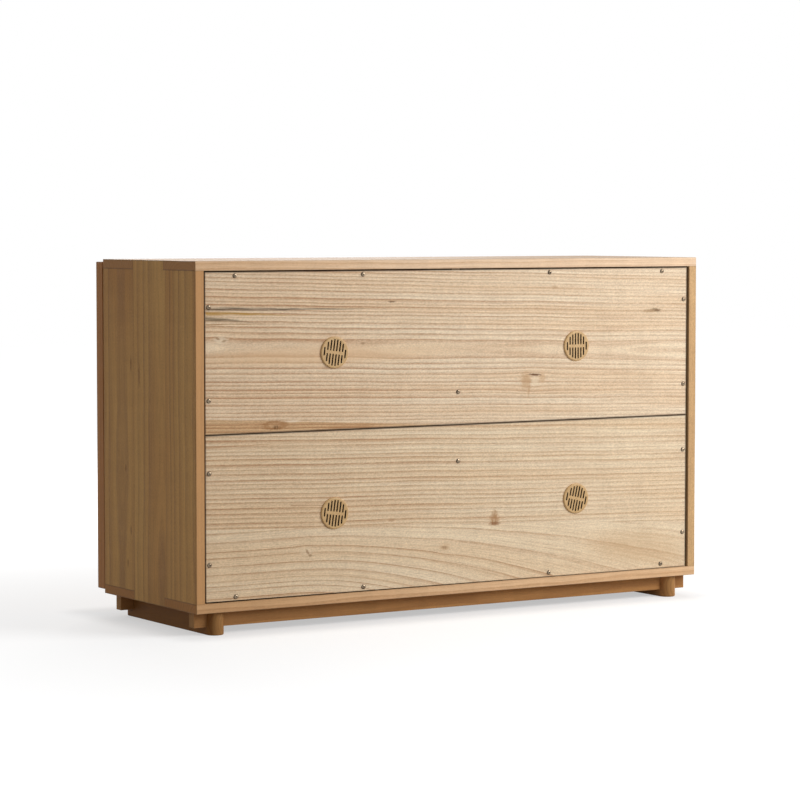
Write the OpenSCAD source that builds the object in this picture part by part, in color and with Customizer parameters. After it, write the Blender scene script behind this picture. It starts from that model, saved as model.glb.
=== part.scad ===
// Chest of four drawers in solid wood, with a finger-jointed case on a cross-lapped base.
// The floor is z = 0, the front faces -Y and the origin is the centre of the footprint.
// Left and right are as seen from the front, so the right side is at +X.

/* [Case] */
// Width of the case
case_w = 1200; // [960:1:1600]
// Depth of the case boards
case_d = 390; // [380:0.5:520]
// Height of the case without its base
case_h = 674; // [580:1:860]
// Thickness of the top, bottom and side boards
board_t = 18.5; // [16:0.5:24]
// Thickness of the centre partition
partition_t = 18.5; // [16:0.5:24]
// Number of fingers across the depth of each corner joint
finger_count = 3; // [3:2:9]
// Easing of the outer edges of the case
case_ease = 1.2; // [0.4:0.1:2.5]

/* [Back] */
// How far the back boards lie in from the rear edge of the case
back_recess = 4; // [3.5:0.5:8]
// Thickness of the back boards
back_t = 9; // [8:0.5:14]
// Height of the joint between the back boards above the bottom board
back_joint_rise = 323; // [290:1:350]
// Width of the joint between the two back boards
back_joint_gap = 1.6; // [0.6:0.2:3]
// Gap beside the back boards at the right side
back_gap_right = 4; // [1:0.5:5]
// Gap beside the back boards at the left side
back_gap_left = 4; // [1:0.5:5]
// Gap between the upper back board and the top board
back_gap_top = 2.6; // [1:0.2:4]
// Gap under the lower back board at its right end
back_gap_low_right = 3; // [1.2:0.2:4]
// Gap under the lower back board at its left end
back_gap_low_left = 0.6; // [0.4:0.2:1]
// Width of the cleats behind the edges of the back boards
cleat_w = 20; // [18:1:30]
// Depth of the cleats from front to back
cleat_d = 15; // [14:1:25]

/* [Back screws] */
// Diameter of the screw heads
screw_head_d = 9; // [6:0.5:9.5]
// Height of the domed screw heads
screw_head_h = 2.8; // [1.6:0.2:3.2]
// Diameter of the screw shanks
screw_shank_d = 3.5; // [3:0.1:4]
// Length of the screw shanks
screw_shank_l = 20; // [16:1:21]
// Clearance between a screw shank and the wood round it
screw_fit = 0.1; // [0.05:0.05:0.4]
// Distance from the side boards to the side screws
screw_from_side = 12; // [9:0.5:14]
// Distance from the top and bottom boards to the nearest screws
screw_from_edge = 9.8; // [8:0.2:13]
// Distance from the side boards to the outer screws along the top and bottom
outer_screw_in = 69.5; // [50:0.5:100]
// Distance from the centre line to the inner screws along the top and bottom
inner_screw_out = 224; // [150:1:300]
// Distance from the top board to the highest side screws
side_screw_drop = 69.5; // [50:0.5:100]
// Distance from the bottom board to the lowest side screws
side_screw_rise = 74; // [50:0.5:100]
// Height of the screws above the joint of the back boards
joint_screw_up = 66; // [40:1:90]
// Depth of the screws below the joint of the back boards
joint_screw_down = 73.5; // [40:0.5:90]

/* [Vents] */
// Diameter of the vent flanges
vent_flange_d = 62.5; // [60:0.5:80]
// Thickness of the vent flanges
vent_flange_t = 3.2; // [2.4:0.2:4]
// Thickness of the slotted face of the vents
vent_face_t = 1.5; // [1:0.1:2]
// Rounding of the rims of the vent flanges
vent_rim_r = 2.2; // [1:0.1:2.4]
// Outer diameter of the tube of each vent in its hole
vent_tube_d = 57; // [54:0.5:58]
// Length of the vent tube behind its flange
vent_tube_l = 14; // [9:1:20]
// Clearance round the vent tube
vent_fit = 0.3; // [0.1:0.1:1]
// Wall of the vent tube
vent_tube_wall = 1.5; // [1:0.1:2.4]
// Land between the ends of the slots and the bore of the tube
vent_land = 0.2; // [0.1:0.1:2]
// Width of the vent slots
vent_slot_w = 3.2; // [1.5:0.1:4]
// Distance from slot to slot
vent_slot_pitch = 6.8; // [5:0.1:7]
// Width of the bar across the middle of the slots
vent_bar = 5.5; // [3:0.5:8]
// Height of the upper vents above the joint of the back boards
upper_vent_rise = 152; // [110:1:180]
// Height of the lower vents above the bottom board
lower_vent_rise = 159.5; // [110:0.5:200]
// Turn of the upper right vent in its hole
upper_right_turn = -8; // [-90:1:90]
// Turn of the upper left vent in its hole
upper_left_turn = 0; // [-90:1:90]
// Turn of the lower right vent in its hole
lower_right_turn = -8; // [-90:1:90]
// Turn of the lower left vent in its hole
lower_left_turn = -13; // [-90:1:90]

/* [Base] */
// Height of the base
base_h = 45; // [36:1:120]
// Width of the round-ended runners
runner_w = 35; // [28:1:50]
// Distance from the side of the case to each runner
runner_inset = 36; // [15:1:80]
// Distance from the rear of the case to the rear tips of the runners
runner_rear_in = 9; // [4:1:40]
// Distance from the front of the case to the front tips of the runners
runner_front_in = 16.8; // [4:0.1:40]
// Thickness of the stretchers
stretcher_t = 20; // [15:1:30]
// Height of the stretchers
stretcher_h = 30; // [24:1:34]
// Distance from the side of the case to the ends of the stretchers
stretcher_inset = 8.5; // [0:0.5:14]
// Length of the base screws
base_screw_l = 34; // [30:1:38]
// Diameter of the base screw heads
base_screw_head_d = 9; // [7:0.5:11]
// Depth of the hole that each base screw head sits in
base_screw_sink = 8; // [6:0.5:10]
// Distance from the centre line to the outer base screws
base_screw_out = 330; // [200:1:420]

/* [Front frame] */
// Thickness of the front frame
frame_t = 32; // [22:0.5:36]
// How far the frame stops short of the top of the case
frame_drop = 5.5; // [0:0.5:10]
// How far the frame starts above the underside of the case
frame_rise = 7.5; // [0:0.5:10]
// Width of the left and right stile
stile_w = 38; // [30:0.5:60]
// Width of the centre stile
centre_stile_w = 38; // [30:0.5:60]
// Height of the top and bottom rail
rail_h = 28; // [24:0.5:45]
// Height of the middle rail
mid_rail_h = 22; // [16:0.5:40]
// Length of the tenons on the rails and the centre stile
tenon_l = 10; // [6:0.5:16]
// Thickness of the tenons
tenon_t = 8; // [6:0.5:11]
// Shoulder of the tenons at each edge
tenon_shoulder = 4; // [2:0.5:6]
// Width of the shadow line behind the outer edges of the frame
reveal_w = 8; // [4:0.5:11]
// Depth of the shadow line at the top of the frame
reveal_top = 4; // [1:0.5:5]
// Depth of the shadow line at the bottom of the frame
reveal_bottom = 0.6; // [0.2:0.2:2]
// Easing of the outer edges of the whole frame
frame_ease = 2.4; // [1:0.1:4]
// Easing of the inner edges of the frame, of the drawer fronts and of the base
fine_ease = 0.8; // [0.3:0.1:1.5]

/* [Drawers] */
// Gap round each drawer front
front_gap = 2.5; // [1.5:0.5:5]
// Thickness of the drawer fronts
front_t = 20; // [16:0.5:21.5]
// Thickness of the walls of the drawer boxes
wall_t = 12; // [10:0.5:16]
// How far the drawer box starts above the lower edge of its front
box_rise = 10; // [6:1:25]
// How far the drawer box stops below the upper edge of its front
box_drop = 36; // [20:1:60]
// Depth of the housings in the drawer front for the side walls
housing_d = 8; // [5:0.5:10]
// Number of fingers up each rear corner of a drawer box
box_fingers = 7; // [5:2:11]
// Thickness of the drawer bottoms
bottom_t = 6; // [4:0.5:9]
// How far the drawer bottom lies above the lower edge of the box
bottom_rise = 10; // [6:1:20]
// Depth of the grooves that hold the drawer bottom
groove_d = 6; // [4:0.5:6.5]
// Play between the edges of the drawer bottom and its grooves
groove_fit = 0.4; // [0.2:0.1:1]

/* [Slides] */
// Height of the drawer slides
slide_h = 45; // [35:1:50]
// Space that each slide takes beside the drawer box
slide_gap = 12.7; // [12.2:0.1:14]
// Thickness of the steel of the slides
slide_steel = 1.2; // [1:0.1:1.5]
// Running gap between the nested members of a slide
slide_play = 0.3; // [0.2:0.05:0.5]
// How far the web of the intermediate member lies from the case member's back
slide_step = 3.4; // [2.6:0.1:4]
// How far the slides start behind the drawer front
slide_setback = 2; // [1:0.5:6]
// Room left between the slides and the cleats
slide_back_gap = 22; // [5:0.5:40]
// Height of the slides above the lower edge of the drawer box
slide_rise = 60; // [30:1:90]

/* [Handles] */
// Width of the handles
handle_w = 180; // [120:1:260]
// Height of the handles
handle_h = 20; // [16:1:30]
// How far the handles stand out from the drawer fronts
handle_d = 28; // [24:1:40]
// Thickness of the grip of the handles
grip_t = 11; // [8:0.5:16]
// Length of the solid foot at each end of a handle
foot_l = 26; // [20:1:40]
// How far the middle of a handle lies below the upper edge of its front
handle_drop = 90; // [40:1:120]
// Length of the handle screw shanks
handle_screw_l = 34; // [28:1:38]

/* [Hidden] */
$fn = 48;
inner_x = case_w / 2 - board_t;
overall_d = case_d + frame_t + handle_d;
rear_y = overall_d / 2;
case_front_y = rear_y - case_d;
frame_front_y = case_front_y - frame_t;
case_z0 = base_h;
case_z1 = base_h + case_h;
floor_z = case_z0 + board_t;
ceiling_z = case_z1 - board_t;
finger_d = case_d / finger_count;

back_y = rear_y - back_recess;
back_front_y = back_y - back_t;
cleat_front_y = back_front_y - cleat_d;
joint_z = floor_z + back_joint_rise;
half_joint = back_joint_gap / 2;
vent_x = inner_x / 2;
vent_z = [floor_z + lower_vent_rise, joint_z + upper_vent_rise];

// Centres of the back screws as [x, z], on the upper and on the lower back board
upper_screws = concat(
    [for (side = [-1, 1], x = [inner_screw_out, inner_x - outer_screw_in]) [side * x, ceiling_z - screw_from_edge]],
    [for (side = [-1, 1], z = [ceiling_z - side_screw_drop, joint_z + joint_screw_up])
        [side * (inner_x - screw_from_side), z]],
    [[0, joint_z + joint_screw_up]]
);
lower_screws = concat(
    [for (side = [-1, 1], x = [inner_screw_out, inner_x - outer_screw_in]) [side * x, floor_z + screw_from_edge]],
    [for (side = [-1, 1], z = [floor_z + side_screw_rise, joint_z - joint_screw_down])
        [side * (inner_x - screw_from_side), z]],
    [[0, joint_z - joint_screw_down]]
);

runner_x = case_w / 2 - runner_inset - runner_w / 2;
runner_r = runner_w / 2;
runner_rear_y = rear_y - runner_rear_in - runner_r;
runner_front_y = case_front_y + runner_front_in + runner_r;
rear_stretcher_y = [runner_rear_y - stretcher_t, runner_rear_y];
front_stretcher_y = [runner_front_y, runner_front_y + stretcher_t];
stretcher_x = case_w / 2 - stretcher_inset;
lap_z = base_h - stretcher_h / 2;
base_screw_x = [-base_screw_out, 0, base_screw_out];

frame_z0 = case_z0 + frame_rise;
frame_z1 = case_z1 - frame_drop;
opening_x0 = centre_stile_w / 2;
opening_x1 = case_w / 2 - stile_w;
opening_w = opening_x1 - opening_x0;
mid_z = (frame_z0 + frame_z1) / 2;
mid_rail_z = [mid_z - mid_rail_h / 2, mid_z + mid_rail_h / 2];
tenon_y = frame_front_y + (frame_t - tenon_t) / 2;
lap_y = frame_front_y + frame_t / 2;

rows = ["lower", "upper"];
columns = ["left", "right"];
row_z = [frame_z0 + rail_h + front_gap, mid_rail_z[1] + front_gap];
front_w = opening_w - 2 * front_gap;
front_h = mid_rail_z[0] - frame_z0 - rail_h - 2 * front_gap;
slide_l = cleat_front_y - slide_back_gap - (frame_front_y + front_t + slide_setback);
box_w = opening_w - 2 * slide_gap;
box_h = front_h - box_rise - box_drop;
box_rear = front_t + slide_setback + slide_l;
box_finger_h = box_h / box_fingers;
wall_x = box_w / 2 - wall_t;
slide_z = box_rise + slide_rise;
bottom_z = box_rise + bottom_rise;
handle_z = front_h - handle_drop;
handle_screw_x = handle_w / 2 - foot_l / 2;

DRAWER_PIECES = ["front", "left_wall", "right_wall", "rear_wall", "bottom", "handle", "handle_screws",
    "slide_members", "intermediate_members"];
DRAWER_NODES = [for (row = rows, column = columns, piece = DRAWER_PIECES) str(row, "_", column, "_", piece)];

case_wood = [0.80, 0.63, 0.46];
back_wood = [0.88, 0.76, 0.61];
base_wood = [0.70, 0.52, 0.35];
box_wood = [0.86, 0.75, 0.60];
vent_tan = [0.76, 0.63, 0.43];
steel = [0.72, 0.72, 0.72];
nickel = [0.66, 0.62, 0.55];

// A plain board between its lowest and its highest corner
module block(low, high) {
    translate(low) cube(high - low);
}

// Outline of a rectangle whose corners are eased by two short flats
module eased_outline(w, h, ease) {
    bite = ease * (1 - sqrt(0.5));
    polygon([
        [ease, 0], [w - ease, 0], [w - bite, bite], [w, ease],
        [w, h - ease], [w - bite, h - bite], [w - ease, h], [ease, h],
        [bite, h - bite], [0, h - ease], [0, ease], [bite, bite]
    ]);
}

// A board between two corners with all of its edges eased
module eased_block(low, high, ease) {
    size = high - low;
    translate(low) intersection() {
        linear_extrude(size.z) eased_outline(size.x, size.y, ease);
        translate([0, size.y, 0]) rotate([90, 0, 0]) linear_extrude(size.y) eased_outline(size.x, size.z, ease);
        rotate([90, 0, 90]) linear_extrude(size.x) eased_outline(size.y, size.z, ease);
    }
}

// Draws its children with their +Z turned to face the rear
module facing_rear() {
    rotate([-90, 0, 0]) children();
}

// A screw with a domed head standing on z = 0 and its shank below
module domed_screw(head_d, head_h, shank_d, shank_l) {
    head_r = head_d / 2;
    shank_r = shank_d / 2;
    rotate_extrude() polygon([
        [0, -shank_l], [shank_r / 2, -shank_l], [shank_r, -shank_l + shank_r], [shank_r, 0],
        [head_r, 0], [head_r, head_h * 0.25], [head_r * 0.86, head_h * 0.62], [head_r * 0.55, head_h * 0.88],
        [head_r * 0.2, head_h], [0, head_h]
    ]);
}

// The whole case as one eased block, which trims each of its boards
module case_outline() {
    eased_block([-case_w / 2, case_front_y, case_z0], [case_w / 2, rear_y, case_z1], case_ease);
}

// The case fingers of one parity at one end, running over the thickness of the side board
module end_fingers(end, first, low_z, high_z) {
    x0 = end > 0 ? inner_x : -case_w / 2;
    for (i = [first:2:finger_count - 1]) {
        block([x0, case_front_y + i * finger_d, low_z], [x0 + board_t, case_front_y + (i + 1) * finger_d, high_z]);
    }
}

// The top or the bottom board, whose outer fingers run through the sides
module cross_board(low_z) {
    high_z = low_z + board_t;
    color(case_wood) intersection() {
        case_outline();
        union() {
            block([-inner_x, case_front_y, low_z], [inner_x, rear_y, high_z]);
            for (end = [-1, 1]) end_fingers(end, 0, low_z, high_z);
        }
    }
}

// The bottom board, with the holes for the base screws
module bottom_board() {
    difference() {
        cross_board(case_z0);
        for (span = [front_stretcher_y, rear_stretcher_y]) base_screw_holes(span);
    }
}

// A side board, whose middle fingers run through the top and bottom boards
module side_board(end) {
    x0 = end > 0 ? inner_x : -case_w / 2;
    color(case_wood) intersection() {
        case_outline();
        union() {
            block([x0, case_front_y, floor_z], [x0 + board_t, rear_y, ceiling_z]);
            end_fingers(end, 1, case_z0, floor_z);
            end_fingers(end, 1, ceiling_z, case_z1);
        }
    }
}

// The upright board between the drawer columns
module centre_partition() {
    color(box_wood) difference() {
        block([-partition_t / 2, case_front_y, floor_z], [partition_t / 2, back_front_y, ceiling_z]);
        shank_holes([for (p = concat(upper_screws, lower_screws)) if (p.x == 0) p]);
    }
}

// Holes for the shanks of the back screws
module shank_holes(centres) {
    depth = back_recess + screw_shank_l + 1;
    for (p = centres) {
        translate([p.x, rear_y - depth, p.y]) rotate([-90, 0, 0])
            cylinder(h = depth + 1, r = screw_shank_d / 2 + screw_fit);
    }
}

// Holes in a back board for the tubes of its two vents
module vent_holes(z) {
    for (side = [-1, 1]) {
        translate([side * vent_x, back_front_y - 1, z]) rotate([-90, 0, 0])
            cylinder(h = back_t + 2, r = vent_tube_d / 2 + vent_fit);
    }
}

// The upper back board, with a level lower edge at the joint
module upper_back_board() {
    color(back_wood) difference() {
        block(
            [-inner_x + back_gap_left, back_front_y, joint_z + half_joint],
            [inner_x - back_gap_right, back_y, ceiling_z - back_gap_top]
        );
        shank_holes(upper_screws);
        vent_holes(vent_z[1]);
    }
}

// The lower back board, whose lower edge runs a little out of level
module lower_back_board() {
    x0 = -inner_x + back_gap_left;
    x1 = inner_x - back_gap_right;
    color(back_wood) difference() {
        translate([0, back_y, 0]) rotate([90, 0, 0]) linear_extrude(back_t) polygon([
            [x0, floor_z + back_gap_low_left], [x1, floor_z + back_gap_low_right],
            [x1, joint_z - half_joint], [x0, joint_z - half_joint]
        ]);
        shank_holes(lower_screws);
        vent_holes(vent_z[0]);
    }
}

// The two upright cleats inside the side boards
module side_cleats() {
    color(box_wood) difference() {
        for (side = [-1, 1]) {
            x0 = side > 0 ? inner_x - cleat_w : -inner_x;
            block([x0, cleat_front_y, floor_z], [x0 + cleat_w, back_front_y, ceiling_z]);
        }
        shank_holes(concat(upper_screws, lower_screws));
    }
}

// The four level cleats under the top board and on the bottom board
module cross_cleats() {
    color(box_wood) difference() {
        for (side = [-1, 1], z0 = [floor_z, ceiling_z - cleat_w]) {
            x0 = side > 0 ? partition_t / 2 : -inner_x + cleat_w;
            x1 = side > 0 ? inner_x - cleat_w : -partition_t / 2;
            block([x0, cleat_front_y, z0], [x1, back_front_y, z0 + cleat_w]);
        }
        shank_holes(concat(upper_screws, lower_screws));
    }
}

// The eighteen screws that hold the back boards
module back_screws() {
    color(nickel) for (p = concat(upper_screws, lower_screws)) {
        translate([p.x, back_y, p.y]) facing_rear()
            domed_screw(screw_head_d, screw_head_h, screw_shank_d, screw_shank_l);
    }
}

// The field of slots of a vent, split by a bar except at its two outer slots
module vent_slots(field_r) {
    half_w = vent_slot_w / 2;
    half_count = floor((field_r - half_w - 1) / vent_slot_pitch + 0.5);
    for (i = [0:half_count - 1], side = [-1, 1]) {
        x = (i + 0.5) * vent_slot_pitch;
        reach = sqrt(field_r * field_r - (x + half_w) * (x + half_w));
        start = i < half_count - 1 ? vent_bar / 2 : -reach;
        for (up = [-1, 1]) translate([side * x, 0]) scale([1, up]) {
            translate([-half_w, start + half_w]) square([vent_slot_w, reach - start - vent_slot_w]);
            for (y = [start + half_w, reach - half_w]) translate([0, y]) circle(r = half_w, $fn = 24);
        }
    }
}

// One vent with its flange on z = 0 and its tube below, bored up to the slotted face
module vent_grille() {
    flange_r = vent_flange_d / 2;
    bore_r = vent_tube_d / 2 - vent_tube_wall;
    difference() {
        union() {
            rotate_extrude($fn = 96) polygon(concat(
                [[0, 0], [flange_r, 0]],
                [for (a = [0:22.5:90]) [flange_r, vent_flange_t] - vent_rim_r * [1 - cos(a), 1 - sin(a)]],
                [[0, vent_flange_t]]
            ));
            translate([0, 0, -vent_tube_l]) cylinder(h = vent_tube_l, r = vent_tube_d / 2, $fn = 96);
        }
        translate([0, 0, -vent_tube_l - 1])
            cylinder(h = vent_tube_l + 1 + vent_flange_t - vent_face_t, r = bore_r, $fn = 96);
        translate([0, 0, -1]) linear_extrude(vent_flange_t + 2) vent_slots(bore_r - vent_land);
    }
}

// The four vents, each turned in its hole as it was pressed in
module vent_grilles() {
    turns = [[lower_left_turn, lower_right_turn], [upper_left_turn, upper_right_turn]];
    color(vent_tan) for (row = [0, 1], column = [0, 1]) {
        translate([(2 * column - 1) * vent_x, back_y, vent_z[row]]) facing_rear()
            rotate([0, 0, turns[row][column]]) vent_grille();
    }
}

// Holes for the base screws, through a stretcher and up into the bottom board
module base_screw_holes(span) {
    z0 = base_h - stretcher_h;
    for (x = base_screw_x) translate([x, (span[0] + span[1]) / 2, z0]) {
        translate([0, 0, -1]) cylinder(h = base_screw_sink + 1, r = base_screw_head_d / 2 + screw_fit);
        cylinder(h = base_screw_sink + base_screw_l + 1, r = screw_shank_d / 2 + screw_fit);
    }
}

// A runner of the base, round at both ends and notched from above for the stretchers
module runner(side) {
    color(base_wood) translate([side * runner_x, 0, 0]) difference() {
        union() {
            block([-runner_r, runner_front_y, 0], [runner_r, runner_rear_y, base_h]);
            for (y = [runner_front_y, runner_rear_y]) translate([0, y, 0]) cylinder(h = base_h, r = runner_r);
        }
        for (span = [front_stretcher_y, rear_stretcher_y]) {
            block([-runner_r - 1, span[0], lap_z], [runner_r + 1, span[1], base_h + 1]);
        }
    }
}

// A stretcher of the base, notched from below over the runners
module stretcher(span) {
    z0 = base_h - stretcher_h;
    color(base_wood) difference() {
        eased_block([-stretcher_x, span[0], z0], [stretcher_x, span[1], base_h], fine_ease);
        for (side = [-1, 1]) {
            block([side * runner_x - runner_r, span[0] - 1, z0 - 1], [side * runner_x + runner_r, span[1] + 1, lap_z]);
        }
        base_screw_holes(span);
    }
}

// The screws that hold the base to the bottom board, driven up from below
module base_screws() {
    color(steel) for (x = base_screw_x, span = [front_stretcher_y, rear_stretcher_y]) {
        translate([x, (span[0] + span[1]) / 2, base_h - stretcher_h + base_screw_sink]) rotate([180, 0, 0])
            domed_screw(base_screw_head_d, screw_head_h, screw_shank_d, base_screw_l);
    }
}

// The whole front frame as one eased block, which trims each of its outer boards
module frame_outline() {
    eased_block([-case_w / 2, frame_front_y, frame_z0], [case_w / 2, case_front_y, frame_z1], frame_ease);
}

// The shadow line cut behind an outer edge of the frame, deeper at the top than at the bottom
module side_reveal(side) {
    x0 = side > 0 ? case_w / 2 - reveal_w : -case_w / 2;
    translate([x0, 0, 0]) rotate([90, 0, 90]) linear_extrude(reveal_w) polygon([
        [case_front_y, frame_z0], [case_front_y - reveal_bottom, frame_z0],
        [case_front_y - reveal_top, frame_z1], [case_front_y, frame_z1]
    ]);
}

// The shadow line cut behind the top edge of the frame
module top_reveal() {
    block([-case_w / 2, case_front_y - reveal_top, frame_z1 - reveal_w], [case_w / 2, case_front_y, frame_z1]);
}

// A level tenon at the end of a rail, pointing to one side
module rail_tenon(x, side, low_z, high_z) {
    x0 = side > 0 ? x : x - tenon_l;
    block([x0, tenon_y, low_z + tenon_shoulder], [x0 + tenon_l, tenon_y + tenon_t, high_z - tenon_shoulder]);
}

// Both tenons of a rail of the frame
module rail_tenons(low_z, high_z) {
    for (side = [-1, 1]) rail_tenon(side * opening_x1, side, low_z, high_z);
}

// The tenons at the top and bottom of the centre stile
module centre_stile_tenons() {
    for (z = [frame_z0 + rail_h - tenon_l, frame_z1 - rail_h]) {
        block([-opening_x0 + tenon_shoulder, tenon_y, z], [opening_x0 - tenon_shoulder, tenon_y + tenon_t, z + tenon_l]);
    }
}

// An outer stile, mortised for the three rails
module outer_stile(side) {
    x0 = side > 0 ? opening_x1 : -case_w / 2;
    color(case_wood) difference() {
        intersection() {
            frame_outline();
            eased_block([x0, frame_front_y, frame_z0], [x0 + stile_w, case_front_y, frame_z1], fine_ease);
        }
        side_reveal(side);
        top_reveal();
        rail_tenons(frame_z0, frame_z0 + rail_h);
        rail_tenons(mid_rail_z[0], mid_rail_z[1]);
        rail_tenons(frame_z1 - rail_h, frame_z1);
    }
}

// The stile between the drawer columns, lapped in front of the middle rail
module centre_stile() {
    color(case_wood) difference() {
        union() {
            eased_block(
                [-opening_x0, frame_front_y, frame_z0 + rail_h], [opening_x0, case_front_y, frame_z1 - rail_h],
                fine_ease
            );
            centre_stile_tenons();
        }
        block([-opening_x0 - 1, lap_y, mid_rail_z[0]], [opening_x0 + 1, case_front_y + 1, mid_rail_z[1]]);
    }
}

// A rail of the frame with its tenons
module rail(low_z, high_z) {
    eased_block([-opening_x1, frame_front_y, low_z], [opening_x1, case_front_y, high_z], fine_ease);
    rail_tenons(low_z, high_z);
}

// The top or the bottom rail, mortised for the centre stile
module end_rail(low_z) {
    color(case_wood) difference() {
        intersection() {
            frame_outline();
            rail(low_z, low_z + rail_h);
        }
        centre_stile_tenons();
        top_reveal();
    }
}

// The middle rail, lapped behind the centre stile
module middle_rail() {
    color(case_wood) difference() {
        rail(mid_rail_z[0], mid_rail_z[1]);
        block([-opening_x0, frame_front_y - 1, mid_rail_z[0] - 1], [opening_x0, lap_y, mid_rail_z[1] + 1]);
    }
}

// Puts its children at one drawer: x on its middle, y = 0 on its face, z = 0 at its lower edge
module at_drawer(row, column) {
    translate([(2 * column - 1) * (opening_x0 + opening_x1) / 2, frame_front_y, row_z[row]]) children();
}

// The front of a drawer, housed for the side walls and grooved for the bottom
module drawer_front() {
    color(case_wood) difference() {
        eased_block([-front_w / 2, 0, 0], [front_w / 2, front_t, front_h], fine_ease);
        for (x = [-box_w / 2, wall_x]) {
            block([x, front_t - housing_d, box_rise], [x + wall_t, front_t + 1, box_rise + box_h]);
        }
        block([-wall_x, front_t - groove_d, bottom_z], [wall_x, front_t + 1, bottom_z + bottom_t]);
        for (side = [-1, 1]) translate([side * handle_screw_x, -1, handle_z]) rotate([-90, 0, 0])
            cylinder(h = front_t + 2, r = screw_shank_d / 2 + screw_fit);
    }
}

// The spans up a rear corner that one of the two walls takes
module corner_fingers(x, first) {
    for (i = [first:2:box_fingers - 1]) {
        z0 = box_rise + i * box_finger_h;
        block([x, box_rear - wall_t, z0], [x + wall_t, box_rear, z0 + box_finger_h]);
    }
}

// A side wall of a drawer box, grooved for the bottom and fingered at its rear end
module side_wall(side) {
    x0 = side > 0 ? wall_x : -box_w / 2;
    groove_x = side > 0 ? wall_x - 1 : -wall_x - groove_d;
    color(box_wood) difference() {
        block([x0, front_t - housing_d, box_rise], [x0 + wall_t, box_rear, box_rise + box_h]);
        corner_fingers(x0, 1);
        block([groove_x, 0, bottom_z], [groove_x + groove_d + 1, box_rear - wall_t + groove_d, bottom_z + bottom_t]);
    }
}

// The rear wall of a drawer box, fingered into the side walls
module rear_wall() {
    color(box_wood) difference() {
        union() {
            block([-wall_x, box_rear - wall_t, box_rise], [wall_x, box_rear, box_rise + box_h]);
            for (x = [-box_w / 2, wall_x]) corner_fingers(x, 1);
        }
        block(
            [-wall_x - groove_d, box_rear - wall_t - 1, bottom_z],
            [wall_x + groove_d, box_rear - wall_t + groove_d, bottom_z + bottom_t]
        );
    }
}

// The bottom of a drawer box, lying in the grooves of its four walls
module drawer_bottom() {
    half_w = wall_x + groove_d - groove_fit;
    color(box_wood) block(
        [-half_w, front_t - groove_d + groove_fit, bottom_z],
        [half_w, box_rear - wall_t + groove_d - groove_fit, bottom_z + bottom_t]
    );
}

// Outline of a handle from the front, with half-round ends
module handle_outline() {
    r = handle_h / 2;
    square([handle_w - handle_h, handle_h], center = true);
    for (side = [-1, 1]) translate([side * (handle_w / 2 - r), 0]) circle(r = r);
}

// The handle of a drawer, hollowed behind its grip for the fingers
module drawer_handle() {
    gap_x = handle_w / 2 - foot_l;
    color(case_wood) translate([0, 0, handle_z]) difference() {
        rotate([90, 0, 0]) linear_extrude(handle_d) handle_outline();
        block([-gap_x, grip_t - handle_d, -handle_h], [gap_x, 1, handle_h]);
        for (side = [-1, 1]) translate([side * handle_screw_x, front_t - handle_screw_l - 1, 0]) rotate([-90, 0, 0])
            cylinder(h = handle_screw_l + 1, r = screw_shank_d / 2 + screw_fit);
    }
}

// The two screws that hold a handle, driven from inside the drawer
module handle_screws() {
    color(nickel) for (side = [-1, 1]) translate([side * handle_screw_x, front_t, handle_z]) facing_rear()
        domed_screw(screw_head_d, screw_head_h, screw_shank_d, handle_screw_l);
}

// A slide channel lying along +Y, with its web at x = 0 and its flanges towards +X
module channel(height, reach) {
    translate([0, slide_l, 0]) rotate([90, 0, 0]) linear_extrude(slide_l) difference() {
        translate([0, -height / 2]) square([reach, height]);
        translate([slide_steel, slide_steel - height / 2]) square([reach, height - 2 * slide_steel]);
    }
}

// Puts a channel at both sides of a drawer, drawn from the opening edge towards the drawer
module slide_pair() {
    for (side = [-1, 1]) translate([side * opening_w / 2, front_t + slide_setback, slide_z])
        mirror([side > 0 ? 1 : 0, 0, 0]) children();
}

// The outer members of the slides of a drawer, fixed to the packers
module outer_members() {
    slide_pair() channel(slide_h, slide_gap - slide_step);
}

// The intermediate members of a drawer's slides, riding inside the outer ones
module intermediate_members() {
    height = slide_h - 2 * (slide_steel + slide_play);
    reach = slide_gap - slide_step - 2 * slide_play;
    color(steel) slide_pair() translate([slide_step, 0, 0]) channel(height, reach);
}

// The members that are fixed to a drawer's side walls, riding inside the intermediate ones
module drawer_members() {
    height = slide_h - 4 * (slide_steel + slide_play);
    reach = slide_gap - slide_step - slide_steel - 2 * slide_play;
    color(steel) slide_pair() translate([slide_gap, 0, 0]) mirror([1, 0, 0]) channel(height, reach);
}

// The members of all the slides that stay in the case
module case_slide_members() {
    color(steel) for (row = [0, 1], column = [0, 1]) at_drawer(row, column) outer_members();
}

// Packers that bring the slides flush with the inner edges of the stiles
module slide_packers() {
    spans = [[partition_t / 2, opening_x0], [opening_x1, inner_x]];
    rear = frame_front_y + front_t + slide_setback + slide_l;
    color(box_wood) for (z = row_z, side = [-1, 1], span = spans) {
        x0 = side > 0 ? span[0] : -span[1];
        z0 = z + slide_z - slide_h / 2;
        block([x0, case_front_y, z0], [x0 + span[1] - span[0], rear, z0 + slide_h]);
    }
}

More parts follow.
